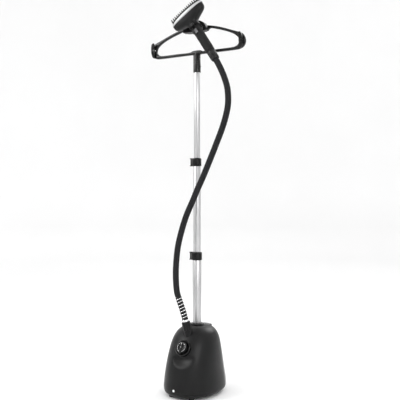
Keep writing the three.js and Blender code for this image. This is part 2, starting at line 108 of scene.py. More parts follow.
class Finish:
    """A surface's material: a Principled shader and the nodes laid before it."""

    def __init__(self, name, **constants):
        self.material = bpy.data.materials.new(name)
        self.material.use_nodes = True
        self.tree = self.material.node_tree
        self.shader = self.tree.nodes["Principled BSDF"]
        for socket, value in constants.items():
            self.shader.inputs[socket.replace("_", " ")].default_value = value

    def lay(self, kind, settings=None, values=(), out=0):
        node = self.tree.nodes.new(kind)
        for key, value in (settings or {}).items():
            setattr(node, key, value)
        pairs = values.items() if isinstance(values, dict) else enumerate(values)
        for socket, value in pairs:
            if isinstance(value, Signal):
                self.tree.links.new(value.socket, node.inputs[socket])
            else:
                node.inputs[socket].default_value = value
        return Signal(self, node.outputs[out])

    def feed(self, socket, signal):
        self.tree.links.new(signal.socket, self.shader.inputs[socket])

    def where(self, scale=(1, 1, 1), shift=(0, 0, 0)):
        place = self.lay("ShaderNodeTexCoord", out="Object")
        return self.lay("ShaderNodeMapping", values={"Vector": place, "Scale": scale, "Location": shift})

    def axes(self, vector):
        node = self.lay("ShaderNodeSeparateXYZ", values=[vector]).socket.node
        return [Signal(self, socket) for socket in node.outputs]

    def noise(self, scale, detail=3, stretch=(1, 1, 1), rough=0.5):
        values = {"Vector": self.where(stretch), "Scale": scale, "Detail": detail, "Roughness": rough}
        return self.lay("ShaderNodeTexNoise", values=values)

    def ramp(self, signal, low, high, to_low=0.0, to_high=1.0):
        values = {"Value": signal, "From Min": low, "From Max": high, "To Min": to_low, "To Max": to_high}
        return self.lay("ShaderNodeMapRange", values=values)

    def mix(self, mask, first, second):
        settings = {"data_type": "RGBA"}
        values = {0: mask, 6: first, 7: second}
        return self.lay("ShaderNodeMix", settings, values, out=2)

    def raise_by(self, height, depth, strength=1.0):
        values = {"Height": height, "Distance": depth, "Strength": strength}
        self.feed("Normal", self.lay("ShaderNodeBump", values=values))


def grey(value, blue=1.0):
    return (value, value, min(1.0, value * blue), 1)


def show(name, bm, finish, sharp=35):
    """Turns a finished bmesh into an object with smooth faces and crisp corners."""
    mesh = bpy.data.meshes.new(name)
    bm.to_mesh(mesh)
    bm.free()
    mesh.polygons.foreach_set("use_smooth", [True] * len(mesh.polygons))
    mesh.set_sharp_from_angle(angle=radians(sharp))
    mesh.materials.append(finish.material)
    obj = bpy.data.objects.new(name, mesh)
    bpy.context.scene.collection.objects.link(obj)
    return obj


def turn(profile, sides=64):
    """A turned shape: radius and height pairs, closed on the axis or as a ring, spun about Z."""
    bm = bmesh.new()
    verts = [bm.verts.new((r, 0, z)) for r, z in profile]
    ends = verts[1:] + verts[:1] if profile[0][0] > 0 else verts[1:]
    edges = [bm.edges.new(pair) for pair in zip(verts, ends)]
    spun = {"cent": (0, 0, 0), "axis": (0, 0, 1), "angle": 2 * pi, "steps": sides, "use_merge": True}
    bmesh.ops.spin(bm, geom=verts + edges, **spun)
    bmesh.ops.remove_doubles(bm, verts=bm.verts, dist=1e-6)
    bmesh.ops.recalc_face_normals(bm, faces=bm.faces)
    return bm


room = turn([
    (0, -0.001), (4.2, -0.001), (4.9, 0.1), (5.4, 0.45), (5.6, 1.2), (5.6, 4.5), (5.7, 4.5), (5.7, -0.1),
    (0, -0.1),
])
paper = Finish("studio_paper", Roughness=0.9)
paper.feed("Base Color", paper.mix(paper.noise(1.5), grey(0.85), grey(0.88)))
show("studio_floor", room, paper, sharp=80)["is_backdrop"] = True

world = bpy.data.worlds.new("soft_sky")
world.use_nodes = True
sky = world.node_tree.nodes["Background"].inputs
sky["Color"].default_value, sky["Strength"].default_value = (1, 1, 1, 1), SKY_STRENGTH
bpy.context.scene.world = world
bpy.context.scene.view_settings.view_transform = "Standard"

LIGHTS = [
    ("window_light", (-2.2, -2.0, 2.6), 1.6, 54),
    ("fill_light", (2.8, -2.2, 2.0), 1.4, 38),
    ("rear_light", (0.6, 3.0, 2.8), 1.6, 40),
]
for light_name, place, size, power in LIGHTS:
    lamp = bpy.data.lights.new(light_name, "AREA")
    lamp.energy, lamp.size = power, size
    light = bpy.data.objects.new(light_name, lamp)
    light.location = place
    light.rotation_euler = (LIGHTS_AIM - light.location).to_track_quat("-Z", "Y").to_euler()
    bpy.context.scene.collection.objects.link(light)

camera = bpy.data.objects.new("camera", bpy.data.cameras.new("camera"))
camera.data.lens, camera.data.sensor_width = LENS, 36
right = Vector((cos(CAMERA_TURN), sin(CAMERA_TURN), 0))
back = Vector((sin(CAMERA_TURN), -cos(CAMERA_TURN), 0))
camera.location = Vector((0, POLE_Y, CAMERA_HEIGHT)) + back * CAMERA_AWAY + right * CAMERA_ASIDE
camera.rotation_euler = (pi / 2, 0, CAMERA_TURN)
bpy.context.scene.collection.objects.link(camera)
bpy.context.scene.camera = camera


# The steam hose: one length of rubber hose in a tight black braid, from the port, through the spring bend
# protector, across the front of the pole and up into the cuff of the steam head.
HOSE_R = 0.012
SPRING_TOP = 0.3895
HOSE_SPLIT = 0.8035
CUFF_MOUTH = 1.317
BRAID_STRANDS = 22
HOSE_ROUTE = [
    (2.8, -81.4, 264.8), (-2.3, -87.5, 299.6), (-12.5, -93, 340), (-28.7, -98, 389.5), (-33.4, -99.3, 408),
    (-37, -100, 440), (-38, -100, 501), (-34, -94, 576), (-25, -88, 629), (-4, -79, 705), (26, -71, 775),
    (38, -69, 803.5), (63, -66, 855), (103, -64, 942), (124, -62, 991), (144, -60, 1039), (161, -58, 1090),
    (171, -57, 1140), (168, -56, 1198), (155, -55, 1240), (138, -55, 1278), (116, -55, 1317),
    (94.9, -55, 1348.6),
]
BRAID_LAY = 0.8


def smooth_line(points, spacing):
    """Points every spacing along a centripetal Catmull-Rom line through the given ones."""
    ends = [points[0] * 2 - points[1], *points, points[-1] * 2 - points[-2]]
    line = []
    for a, b, c, d in zip(ends, ends[1:], ends[2:], ends[3:]):
        t1 = (b - a).length ** 0.5
        t2 = t1 + (c - b).length ** 0.5
        t3 = t2 + (d - c).length ** 0.5
        steps = max(1, round((c - b).length / spacing))
        for k in range(steps):
            t = t1 + (t2 - t1) * k / steps
            ab, bc, cd = a.lerp(b, t / t1), b.lerp(c, (t - t1) / (t2 - t1)), c.lerp(d, (t - t2) / (t3 - t2))
            abc, bcd = ab.lerp(bc, t / t2), bc.lerp(cd, (t - t1) / (t3 - t1))
            line.append(abc.lerp(bcd, (t - t1) / (t2 - t1)))
    return line + [points[-1].copy()]


def frames_along(line):
    """A place, a side and an up direction at each point of a line, carried along without twist."""
    side = Vector((0, -1, 0))
    frames = []
    for before, here, after in zip(line[:1] + line, line, line[1:] + line[-1:]):
        along = (after - before).normalized()
        side = (side - along * side.dot(along)).normalized()
        frames.append((here, side.copy(), along.cross(side)))
    return frames


def grow_rings(bm, sides, count):
    """A circle drawn out into a row of rings, which are then put in place one by one."""
    rings = [bmesh.ops.create_circle(bm, segments=sides, radius=1)["verts"]]
    for _ in range(count - 1):
        last = set(rings[-1])
        edges = {e for v in last for e in v.link_edges if e.other_vert(v) in last}
        grown = bmesh.ops.extrude_edge_only(bm, edges=list(edges))["geom"]
        fresh = {g for g in grown if isinstance(g, bmesh.types.BMVert)}
        rings.append([next(o for e in v.link_edges if (o := e.other_vert(v)) in fresh) for v in rings[-1]])
    return rings


def tube(frames, radius, sides, start=0.0, capped=True):
    """A tube through the frames, with a UV map in metres round and along it."""
    bm = bmesh.new()
    uv = bm.loops.layers.uv.new("round_and_along")
    rings = grow_rings(bm, sides, len(frames))
    along = [start]
    for (a, _, _), (b, _, _) in zip(frames, frames[1:]):
        along.append(along[-1] + (b - a).length)
    order = {}
    for k, (ring, (place, side, up)) in enumerate(zip(rings, frames)):
        for i, v in enumerate(ring):
            angle = 2 * pi * i / sides
            v.co = place + side * (radius * cos(angle)) + up * (radius * sin(angle))
            order[v] = (i, k)
    for face in bm.faces:
        columns = [order[loop.vert][0] for loop in face.loops]
        wraps = max(columns) - min(columns) > 1
        for loop, column in zip(face.loops, columns):
            step = column + sides if wraps and column == 0 else column
            loop[uv].uv = (2 * pi * radius * step / sides, along[order[loop.vert][1]])
    if capped:
        bmesh.ops.contextual_create(bm, geom=rings[0])
        bmesh.ops.contextual_create(bm, geom=rings[-1])
    bmesh.ops.recalc_face_normals(bm, faces=bm.faces)
    return bm


braid = Finish("black_braid", Specular_IOR_Level=0.12)
round_u, along_v, _ = braid.axes(braid.lay("ShaderNodeUVMap", {"uv_map": "round_and_along"}))
strand = 2 * pi * HOSE_R / BRAID_STRANDS
left_lay = ((round_u + along_v * BRAID_LAY) * (pi / strand)).math("SINE").math("ABSOLUTE")
right_lay = ((round_u - along_v * BRAID_LAY) * (pi / strand)).math("SINE").math("ABSOLUTE")
crossing = (round_u * (2 * pi / strand)).math("SINE") * (along_v * (2 * BRAID_LAY * pi / strand)).math("SINE")
over = crossing.math("GREATER_THAN", 0)
yarn = left_lay * over + right_lay * (1 - over)
fuzz = braid.noise(2600, 2)
shade = braid.ramp(yarn, 0.15, 1) * 0.75 + fuzz * 0.25
braid.feed("Base Color", braid.mix(shade, grey(0.002), (0.022, 0.022, 0.024, 1)))
braid.feed("Roughness", braid.ramp(yarn + fuzz * 0.3, 0, 1.3, 0.92, 0.62))
braid.raise_by(yarn + fuzz * 0.25, 0.0007)

route = smooth_line([Vector((x, y, z)) / 1000 + Vector((0, POLE_Y, 0)) for x, y, z in HOSE_ROUTE], 0.006)
hose_frames = frames_along(route)


def length_of(line):
    return sum((b - a).length for a, b in zip(line, line[1:]))


def fit(obj, slot, body, *nodes):
    """Hides the nodes a piece stands for and hangs the piece on the body it moves with; its finish slot is
    not used.
    """
    if nodes:
        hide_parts(*nodes)
    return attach(obj, body)


def hose_piece(name, low, high, body, *nodes):
    """The stretch of the hose between two heights, and the points that it follows."""
    first = next(i for i, p in enumerate(route) if p.z > low - 1e-6)
    last = next((i for i, p in enumerate(route) if p.z > high - 1e-6), len(route) - 1)
    start = length_of(route[:first + 1])
    obj = show(name, tube(hose_frames[first:last + 1], HOSE_R, 2 * BRAID_STRANDS, start), braid)
    fit(obj, "woven_hose", body, *nodes)
    return obj, route[first:last + 1]


hose_piece("hose_root_braid", 0, SPRING_TOP, "root", "hose_root")
limits = {joint["name"]: joint for joint in frame["joints"]}
for part, low, high, body, joint in [
    ("lower", SPRING_TOP, HOSE_SPLIT, "root", "pole_middle_slide"),
    ("upper", HOSE_SPLIT, CUFF_MOUTH, "pole_middle", "pole_upper_slide"),
]:
    hose, path = hose_piece(f"hose_{part}_braid", low, high, body, f"hose_{part}")
    travel = -limits[joint]["range_m"][0]
    1 - travel / (high - low)
    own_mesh(hose)
    round(length_of(path), 2)
hose_piece("hose_end_in_cuff", CUFF_MOUTH, 2, "pole_upper")


# The tray: a shallow black ABS moulding that carries everything. It has slots for the rear wheels with a lug
# on each side of them, three posts under the boiler, and a round seat for the tank's cap.
BELL_ROWS = [
    (8, 100, -146, 116), (18, 110, -154, 125), (28, 112.5, -157, 129.5), (40, 113, -157, 129.5),
    (60, 112, -154.5, 126.5), (100, 107, -149, 118), (150, 101, -135, 108), (200, 93, -114, 97),
    (225, 86, -98, 89), (245, 75, -80, 78), (258, 60, -62, 66), (265, 44, -46, 52), (269, 26, -28, 34),
]
BELL_POWER = 2 / 2.2
TRAY_LIP = 0.028
WHEEL = (0.066, 0.072, 0.013)
FOOT_AT = (0.045, -0.118)
CAP_AT = (0, 0.066)
POSTS_Y, POST_RING = -0.05, 0.02


def swell(value, power):
    return abs(value) ** power * (1 if value > 0 else -1)


def loft(rows, power, sides=112, shut_low=False, shut_high=True):
    """A skin through rows of height, half width, front and rear, each a rounded rectangle."""
    bm = bmesh.new()
    rings = grow_rings(bm, sides, len(rows))
    for ring, (z, half, front, rear) in zip(rings, rows):
        for v, angle in zip(ring, [2 * pi * i / sides for i in range(sides)]):
            y = (front + rear) / 2 + (rear - front) / 2 * swell(sin(angle), power)
            v.co = (half * swell(cos(angle), power), y, z)
    for ring, shut in ((rings[0], shut_low), (rings[-1], shut_high)):
        if shut:
            bmesh.ops.contextual_create(bm, geom=ring)
    bmesh.ops.recalc_face_normals(bm, faces=bm.faces)
    return bm


def rod(radius, low, high, sides=48):
    return turn([(0, low), (radius, low), (radius, high), (0, high)], sides)


def move(bm, x=0.0, y=0.0, z=0.0):
    bmesh.ops.translate(bm, vec=(x, y, z), verts=bm.verts)
    return bm


def tip(bm, angle, axis):
    bmesh.ops.rotate(bm, cent=(0, 0, 0), matrix=Matrix.Rotation(angle, 3, axis), verts=bm.verts)
    return bm


def block(x0, x1, y0, y1, z0, z1):
    bm = bmesh.new()
    made = bmesh.ops.create_cube(bm, size=1)["verts"]
    bmesh.ops.scale(bm, vec=(x1 - x0, y1 - y0, z1 - z0), verts=made)
    return move(bm, (x0 + x1) / 2, (y0 + y1) / 2, (z0 + z1) / 2)


def ease(bm, width, segments=2, sharper=30):
    """Rounds every edge where two faces meet at more than the given angle."""
    edges = [e for e in bm.edges if len(e.link_faces) == 2 and e.calc_face_angle(0) > radians(sharper)]
    rounding = {"offset": width, "segments": segments, "profile": 0.5, "affect": "EDGES", "material": -1}
    bmesh.ops.bevel(bm, geom=edges, clamp_overlap=True, **rounding)
    return bm


def together(first, *others):
    """Puts several shapes into one bmesh."""
    for other in others:
        mesh = bpy.data.meshes.new("moulding")
        other.to_mesh(mesh)
        other.free()
        first.from_mesh(mesh)
        bpy.data.meshes.remove(mesh)
    return first


def rows_between(low, high, spacing=0.005):
    """The bell's rows from one height to another."""
    shaped = smooth_line([Vector(row) / 1000 for row in BELL_ROWS], spacing)
    kept = [row for row in shaped if low + 0.002 < row[0] < high - 0.002]
    ends = []
    for z in (low, high):
        below = max((row for row in shaped if row[0] <= z + 1e-6), key=lambda row: row[0])
        above = min((row for row in shaped if row[0] >= z - 1e-6), key=lambda row: row[0])
        share = (z - below[0]) / max(1e-9, above[0] - below[0])
        ends.append(below.lerp(above, share))
    return [tuple(row) for row in [ends[0], *kept, ends[1]]]


def settle(obj, sharp=35):
    """Applies a piece's modifiers, so that a plain mesh is left."""
    bpy.context.view_layer.update()
    mesh = bpy.data.meshes.new_from_object(obj.evaluated_get(bpy.context.evaluated_depsgraph_get()))
    obj.modifiers.clear()
    obj.data = mesh
    mesh.set_sharp_from_angle(angle=radians(sharp))
    return obj


def carve(obj, *cutters, sharp=35):
    """Cuts shapes out of a piece."""
    tools = [show("cutter", bm, satin_black) for bm in cutters]
    for tool in tools:
        cutting = obj.modifiers.new("cutting", "BOOLEAN")
        cutting.operation, cutting.solver, cutting.object = "DIFFERENCE", "EXACT", tool
    settle(obj, sharp)
    for tool in tools:
        bpy.data.objects.remove(tool)
    return obj


def wall(obj, thickness):
    """Gives a skin its thickness, inwards."""
    solidify = obj.modifiers.new("wall", "SOLIDIFY")
    solidify.thickness, solidify.offset, solidify.use_even_offset = thickness, -1, True
    return settle(obj)


def melt(obj):
    """Takes a piece back as a bmesh, so that it can be shaped further."""
    bm = bmesh.new()
    bm.from_mesh(obj.data)
    bpy.data.objects.remove(obj)
    return bm


def moulded(name, tone, rough, grain=1.0, blue=1.03, shine=0.2):
    """Injection-moulded plastic: a fine spark-eroded grain, faint flow marks and rubbed patches."""
    made = Finish(name, IOR=1.49, Specular_IOR_Level=shine, Coat_Roughness=0.2)
    flow = made.noise(9, 3, (1, 1, 0.35))
    pores = made.noise(2100, 2)
    wear = made.noise(38, 5, rough=0.65)
    cloud = made.ramp(flow * 0.7 + wear * 0.3, 0.3, 0.7)
    made.feed("Base Color", made.mix(cloud, grey(tone * 0.8, blue), grey(tone * 1.25, blue)))
    made.feed("Roughness", made.ramp(wear * 0.6 + pores * 0.4, 0.3, 0.7, rough - 0.07, rough + 0.08))
    made.raise_by(pores * 0.8 + flow * 0.2, 0.00025 * grain, 0.6)
    return made


satin_black = moulded("satin_black_plastic", 0.006, 0.34)
tray_bm = loft(rows_between(0.008, TRAY_LIP, 0.003), BELL_POWER, shut_low=True, shut_high=False)
tray = wall(show("tray", ease(tray_bm, 0.0025, 3, 50), satin_black), 0.003)
slots = [block(s * WHEEL[0] - 0.0075, s * WHEEL[0] + 0.0075, 0.057, 0.087, 0, 0.02) for s in (-1, 1)]
foot_holes = [move(rod(0.0044, 0, 0.02, 24), s * FOOT_AT[0], FOOT_AT[1]) for s in (-1, 1)]
carve(tray, *slots, *foot_holes)
fittings = turn([
    (0.0192, 0.010), (0.022, 0.010), (0.022, 0.0215), (0.0215, 0.022), (0.0197, 0.022), (0.0192, 0.0215),
])
move(fittings, *CAP_AT)
for side in (-1, 1):
    for lug in (-0.0095, 0.0095):
        x = side * WHEEL[0] + lug
        together(fittings, ease(block(x - 0.0015, x + 0.0015, 0.066, 0.078, 0.0105, 0.020), 0.0005))
for angle in (radians(90), radians(210), radians(330)):
    post = turn([
        (0, 0.010), (0.0062, 0.010), (0.005, 0.013), (0.005, 0.049), (0.0045, 0.0495), (0, 0.0495),
    ], 24)
    together(fittings, move(post, POST_RING * cos(angle), POSTS_Y + POST_RING * sin(angle)))
tray = show("bottom_tray", move(together(melt(tray), fittings), 0, POLE_Y), satin_black)
fit(tray, "black_plastic", "root", "base_tray")


# The feet, wheels, axles and cord gland: nitrile rubber feet pressed into the tray from below, rubber-tyred
# rollers that turn on plain steel pins, and a ribbed rubber gland in the tray's rear wall.
def bright_metal(name, tone=0.78, rough=0.12, stretch=(1, 1, 1)):
    made = Finish(name, Metallic=1.0)
    haze = made.noise(70, 4, stretch)
    scratch = made.noise(700, 2, (stretch[0] * 3, stretch[1] * 3, stretch[2] * 0.2))
    made.feed("Base Color", made.mix(haze, grey(tone * 0.92), grey(tone * 1.06, 1.01)))
    made.feed("Roughness", made.ramp(haze * 0.6 + scratch * 0.4, 0.3, 0.7, rough * 0.6, rough * 1.6))
    made.raise_by(scratch, 0.00006)
    return made


def dress(finish, *nodes):
    """Gives solids of the frame, whose shapes are right as they are, their real finish."""
    for node in nodes:
        frame["nodes"][node].data.materials.clear()
        frame["nodes"][node].data.materials.append(finish.material)


rubber = Finish("black_rubber", IOR=1.5, Specular_IOR_Level=0.3)
dust = rubber.noise(55, 5, rough=0.7)
skin = rubber.noise(900, 3)
rubber.feed("Base Color", rubber.mix(rubber.ramp(dust, 0.4, 0.8), grey(0.012), grey(0.0264)))
rubber.feed("Roughness", rubber.ramp(dust + skin * 0.4, 0.4, 1.1, 0.72, 0.95))
rubber.raise_by(skin, 0.0004)
bright = bright_metal("polished_steel")
for side, hand in ((-1, "left"), (1, "right")):
    foot = turn([
        (0, 0), (0.0045, 0), (0.005, 0.0008), (0.0062, 0.0008), (0.0068, 0), (0.011, 0), (0.012, 0.002),
        (0.012, 0.0065), (0.0112, 0.0076), (0.004, 0.0076), (0.004, 0.0125), (0.0035, 0.013), (0, 0.013),
    ], 40)
    foot = show(f"{hand}_foot", move(ease(foot, 0.0003), side * FOOT_AT[0], POLE_Y + FOOT_AT[1]), rubber)
    fit(foot, "rubber", "root", f"foot_{hand}")
    half_tyre = [
        (0.0029, -0.006), (0.005, -0.006), (0.0054, -0.0052), (0.0086, -0.0052), (0.009, -0.006),
        (0.0118, -0.006), (0.013, -0.0048), (0.013, -0.0022), (0.0125, -0.0018), (0.0125, -0.0006),
        (0.013, -0.0002),
    ]
    roller = turn(half_tyre + [(r, -x) for r, x in reversed(half_tyre)], 48)
    roller = move(tip(ease(roller, 0.0003), pi / 2, "Y"), side * WHEEL[0], POLE_Y + WHEEL[1], WHEEL[2])
    fit(show(f"{hand}_roller", roller, rubber), "rubber", f"wheel_{hand}_body", f"wheel_{hand}")
    dress(bright, f"axle_{hand}")
gland = turn([
    (0.004, -0.012), (0.007, -0.012), (0.007, 0.001), (0.0062, 0.0015), (0.0062, 0.003), (0.0068, 0.0035),
    (0.0058, 0.0045), (0.0058, 0.006), (0.0064, 0.0065), (0.0055, 0.0075), (0.0055, 0.0095), (0.004, 0.0095),
], 40)
gland = move(tip(gland, -pi / 2, "X"), 0.04, POLE_Y + 0.117, 0.0175)
fit(show("rear_cord_gland", gland, rubber), "rubber", "root", "cord_gland")


# The front housing: a bell of satin black ABS, three millimetres thick, closed behind by a flat bulkhead and
# pierced for the pole's socket, the knob, the hose port and a round lens. A hollow below the knob clears the
# fingers that turn it.
HOUSING = (0.0284, 0.269)
BULKHEAD = 0.038
KNOB_AT, KNOB_TIP = (0.006, -0.1175, 0.194), radians(64)
PORT_AT, PORT_TIP, PORT_TILT = (0.0055, -0.078, 0.246), radians(10), radians(-8.3)
LENS_AT = (-0.014, -0.1496, 0.0344)
HOLLOW_X, HOLLOW_Z, HOLLOW_DEPTH = 0.012, 0.156, 0.015
HOLLOW_WIDE, HOLLOW_UP, HOLLOW_DOWN = 0.048, 0.019, 0.038


def on_knob(bm):
    """Stands a shape made upright at the origin on the slope where the knob goes."""
    return move(tip(bm, KNOB_TIP, "X"), KNOB_AT[0], KNOB_AT[1] + POLE_Y, KNOB_AT[2])


def on_port(bm):
    """Stands a shape made upright at the origin where the hose leaves the housing."""
    return move(tip(tip(bm, PORT_TILT, "Y"), PORT_TIP, "X"), PORT_AT[0], PORT_AT[1] + POLE_Y, PORT_AT[2])


def cleave(bm, y, keep_front):
    """Cuts a skin at a plane across Y and closes the cut with one flat face."""
    cut = bmesh.ops.bisect_plane(
        bm, geom=bm.verts[:] + bm.edges[:] + bm.faces[:], plane_co=(0, y, 0), plane_no=(0, 1, 0),
        clear_outer=keep_front, clear_inner=not keep_front,
    )["geom_cut"]
    edges = [g for g in cut if isinstance(g, bmesh.types.BMEdge)]
    loose = [v for v in {v for e in edges for v in e.verts} if sum(e in edges for e in v.link_edges) == 1]
    if len(loose) == 2:
        edges.append(bm.edges.new(loose))
    bmesh.ops.contextual_create(bm, geom=edges)
    bmesh.ops.recalc_face_normals(bm, faces=bm.faces)
    return bm


shell = cleave(loft(rows_between(*HOUSING, 0.003), BELL_POWER, 224), BULKHEAD, True)
for v in shell.verts:
    rise = v.co.z - HOLLOW_Z
    reach = hypot((v.co.x - HOLLOW_X) / HOLLOW_WIDE, rise / (HOLLOW_UP if rise > 0 else HOLLOW_DOWN))
    if v.co.y < 0 and reach < 1:
        v.co.y += HOLLOW_DEPTH * (1 - reach ** 2) ** 1.5
shell = wall(show("front_housing", move(shell, 0, POLE_Y), satin_black), 0.003)
lens_hole = move(tip(rod(0.0053, -0.01, 0.01), pi / 2, "X"), LENS_AT[0], POLE_Y - 0.157, LENS_AT[2])
shaft_hole, port_hole = on_knob(rod(0.0075, -0.02, 0.02)), on_port(rod(0.0154, -0.03, 0.02))
carve(shell, move(rod(0.0266, 0.19, 0.28), 0, POLE_Y), shaft_hole, port_hole, lens_hole)
fit(shell, "black_plastic", "root", "housing_shell")

lens_white = Finish("milky_lens", IOR=1.5, Roughness=0.2, Coat_Weight=0.4)
lens_white.feed("Base Color", lens_white.mix(lens_white.noise(300), grey(0.82), grey(0.95)))
lens = turn([
    (0, 0), (0.0046, 0), (0.005, 0.0005), (0.005, 0.0058), (0.0044, 0.0070), (0.003, 0.0075), (0, 0.0076),
], 40)
lens = move(tip(lens, pi / 2, "X"), LENS_AT[0], POLE_Y + LENS_AT[1], LENS_AT[2])
fit(show("front_lens", lens, lens_white), "white_plastic", "root", "indicator_lens")


# The pole socket: a glossy black sleeve with a rolled collar, dropped into the housing's top and screwed
# to the bulkhead. The lowest tube of the pole stands on its floor.
gloss_black = moulded("gloss_black_plastic", 0.003, 0.12, grain=0.25, shine=0.3)
socket = turn([
    (0, 0.196), (0.022, 0.196), (0.022, 0.240), (0.026, 0.244), (0.026, 0.2696), (0.0292, 0.2698),
    (0.030, 0.2706), (0.030, 0.2718), (0.0285, 0.2730), (0.0245, 0.2745), (0.021, 0.275), (0.0186, 0.2745),
    (0.0179, 0.273), (0.0179, 0.1996), (0, 0.1996),
], 96)
socket = show("pole_socket_collar", move(ease(socket, 0.0004), 0, POLE_Y), gloss_black)
fit(socket, "gloss_plastic", "root", "pole_socket")


# The power knob: a satin black ABS dial with a raised grip across it, a fine ring and stud of smoked chrome
# and a white pointer, set in a dished glossy bezel. Its shaft turns a rotary switch behind the housing.
DIAL_SIDES = 96
bezel = turn([
    (0.0145, 0.0015), (0.0300, 0.0015), (0.0300, -0.0070), (0.0316, -0.0070), (0.032, 0.003),
    (0.0317, 0.0042), (0.0302, 0.0056), (0.029, 0.006), (0.0275, 0.0055), (0.0258, 0.0040),
    (0.0235, 0.0032), (0.0145, 0.0032),
], 96)
fit(show("knob_bezel_dish", on_knob(bezel), gloss_black), "gloss_plastic", "root", "knob_bezel")
knob = turn([
    (0, 0.005), (0.0205, 0.005), (0.021, 0.0056), (0.021, 0.0125), (0.0203, 0.0145), (0.0187, 0.0158),
    (0.0165, 0.0165), (0.0145, 0.0158), (0.010, 0.0150), (0, 0.0148),
], DIAL_SIDES)
flutes = []
for face in knob.faces:
    middle = face.calc_center_median()
    if 0.006 < middle.z < 0.0125 and middle.xy.length > 0.02:
        turned = degrees(Vector((1, 0)).angle_signed(middle.xy))
        if round(turned / (360 / DIAL_SIDES)) % 4 == 0:
            flutes.append(face)
bmesh.ops.inset_individual(knob, faces=flutes, thickness=0.0002, depth=-0.0007)
grip = ease(block(-0.0028, 0.0028, -0.0175, 0.0175, 0.0140, 0.019), 0.0011, 3)
knob = show("power_dial", on_knob(together(knob, grip, rod(0.003, -0.012, 0.006, 24))), satin_black)
fit(knob, "black_plastic", "knob", "power_knob")
ring = turn([
    (0.0166, 0.0155), (0.0174, 0.0155), (0.0174, 0.0166), (0.0172, 0.0169), (0.0168, 0.0169),
    (0.0166, 0.0167),
], 96)
stud = turn([(0, 0.0150), (0.0018, 0.0150), (0.0018, 0.0191), (0.0013, 0.0195), (0, 0.0196)], 24)
ring = show("dial_bright_ring", on_knob(together(ring, stud)), bright_metal("smoked_chrome", 0.45, 0.2))
fit(ring, "bright_metal", "knob")
white_paint = Finish("white_marking", Roughness=0.5)
white_paint.feed("Base Color", white_paint.mix(white_paint.noise(400), grey(0.6), grey(0.8)))
pointer = ease(block(-0.0006, 0.0006, 0.010, 0.0165, 0.0186, 0.0194), 0.0002)
fit(show("dial_pointer", on_knob(pointer), white_paint), "white_plastic", "knob")


# The hose port: a black boss through the housing, a ribbed coupling nut, a polished ring, and the sprung
# steel coil that keeps the hose from kinking where it leaves the ring.
NUT_RIBS = 10
COIL_TURNS, COIL_WIRE, COIL_CLEAR = 7, 0.0015, 0.0028
COIL_LOW, COIL_HIGH = 0.307, SPRING_TOP + 0.004
COIL_STEPS = COIL_TURNS * 22

port = turn([
    (0.009, -0.024), (0.012, -0.024), (0.015, -0.020), (0.015, 0.0112), (0.0142, 0.012), (0.009, 0.012),
], 64)
fit(show("port_tube", on_port(ease(port, 0.0004)), satin_black), "black_plastic", "root", "port_boss")
nut = turn([
    (0.013, 0.0125), (0.0155, 0.0125), (0.0162, 0.0132), (0.0162, 0.0455), (0.0150, 0.0480), (0.0142, 0.0485),
    (0.013, 0.0485),
], 80)
for i in range(NUT_RIBS):
    rib = ease(block(0.0150, 0.0174, -0.0014, 0.0014, 0.0160, 0.0450), 0.0006)
    together(nut, tip(rib, 2 * pi * i / NUT_RIBS, "Z"))
fit(show("coupling_nut", on_port(nut), satin_black), "black_plastic", "coupling_nut", "collar_nut")
ring = turn([
    (0.013, 0.049), (0.0143, 0.049), (0.0148, 0.0496), (0.0148, 0.0524), (0.0145, 0.0530), (0.0148, 0.0536),
    (0.0148, 0.0564), (0.0143, 0.057), (0.013, 0.057),
], 64)
fit(show("polished_ring", on_port(ring), bright), "bright_metal", "root", "port_ring")

coil_frames = [f for f in hose_frames if COIL_LOW < f[0].z < COIL_HIGH]
coil_line = []
for k in range(COIL_STEPS + 1):
    at = k / COIL_STEPS * (len(coil_frames) - 1.001)
    (p, a, b), (q, c, d) = coil_frames[int(at)], coil_frames[int(at) + 1]
    share, angle = at - int(at), 2 * pi * COIL_TURNS * k / COIL_STEPS
    out = a.lerp(c, share) * cos(angle) + b.lerp(d, share) * sin(angle)
    coil_line.append(p.lerp(q, share) + out * (HOSE_R + COIL_CLEAR))
coil = tube(frames_along(coil_line), COIL_WIRE, 12)
fit(show("bend_protector_coil", coil, bright), "bright_metal", "root", "bend_spring")


# What makes the steam, hidden in the base: a die-cast aluminium boiler with its lid and ring heater, a brass
# thermostat, silicone tubes for feed and steam, a nylon terminal block and the switch behind the knob.
def cast(name, colour, rough):
    made = Finish(name, Metallic=1.0)
    skin = made.noise(420, 5, rough=0.7)
    stain = made.noise(45, 3)
    light = tuple(min(1.0, c * 1.25) for c in colour[:3]) + (1,)
    made.feed("Base Color", made.mix(made.ramp(stain, 0.35, 0.7), colour, light))
    made.feed("Roughness", made.ramp(skin, 0.3, 0.7, rough - 0.1, rough + 0.15))
    made.raise_by(skin, 0.0004)
    return made


silicone = Finish("clear_silicone_tube", Roughness=0.3, IOR=1.41, Transmission_Weight=0.55)
silicone.feed("Base Color", silicone.mix(silicone.noise(60), (0.85, 0.87, 0.86, 1), (0.95, 0.96, 0.95, 1)))
nylon = Finish("natural_nylon", Roughness=0.5)
nylon.feed("Base Color", nylon.mix(nylon.noise(90, 4), (0.74, 0.72, 0.66, 1), (0.84, 0.83, 0.78, 1)))
nylon.raise_by(nylon.noise(900), 0.0002)
dress(cast("die_cast_aluminium", grey(0.5), 0.5), "boiler_cup", "boiler_lid", "heater_element")
dress(cast("turned_brass", (0.68, 0.47, 0.18, 1), 0.3), "thermostat")
dress(silicone, "feed_tube", "steam_tube", "steam_pipe")
dress(nylon, "terminal_block")
dress(satin_black, "rotary_switch")


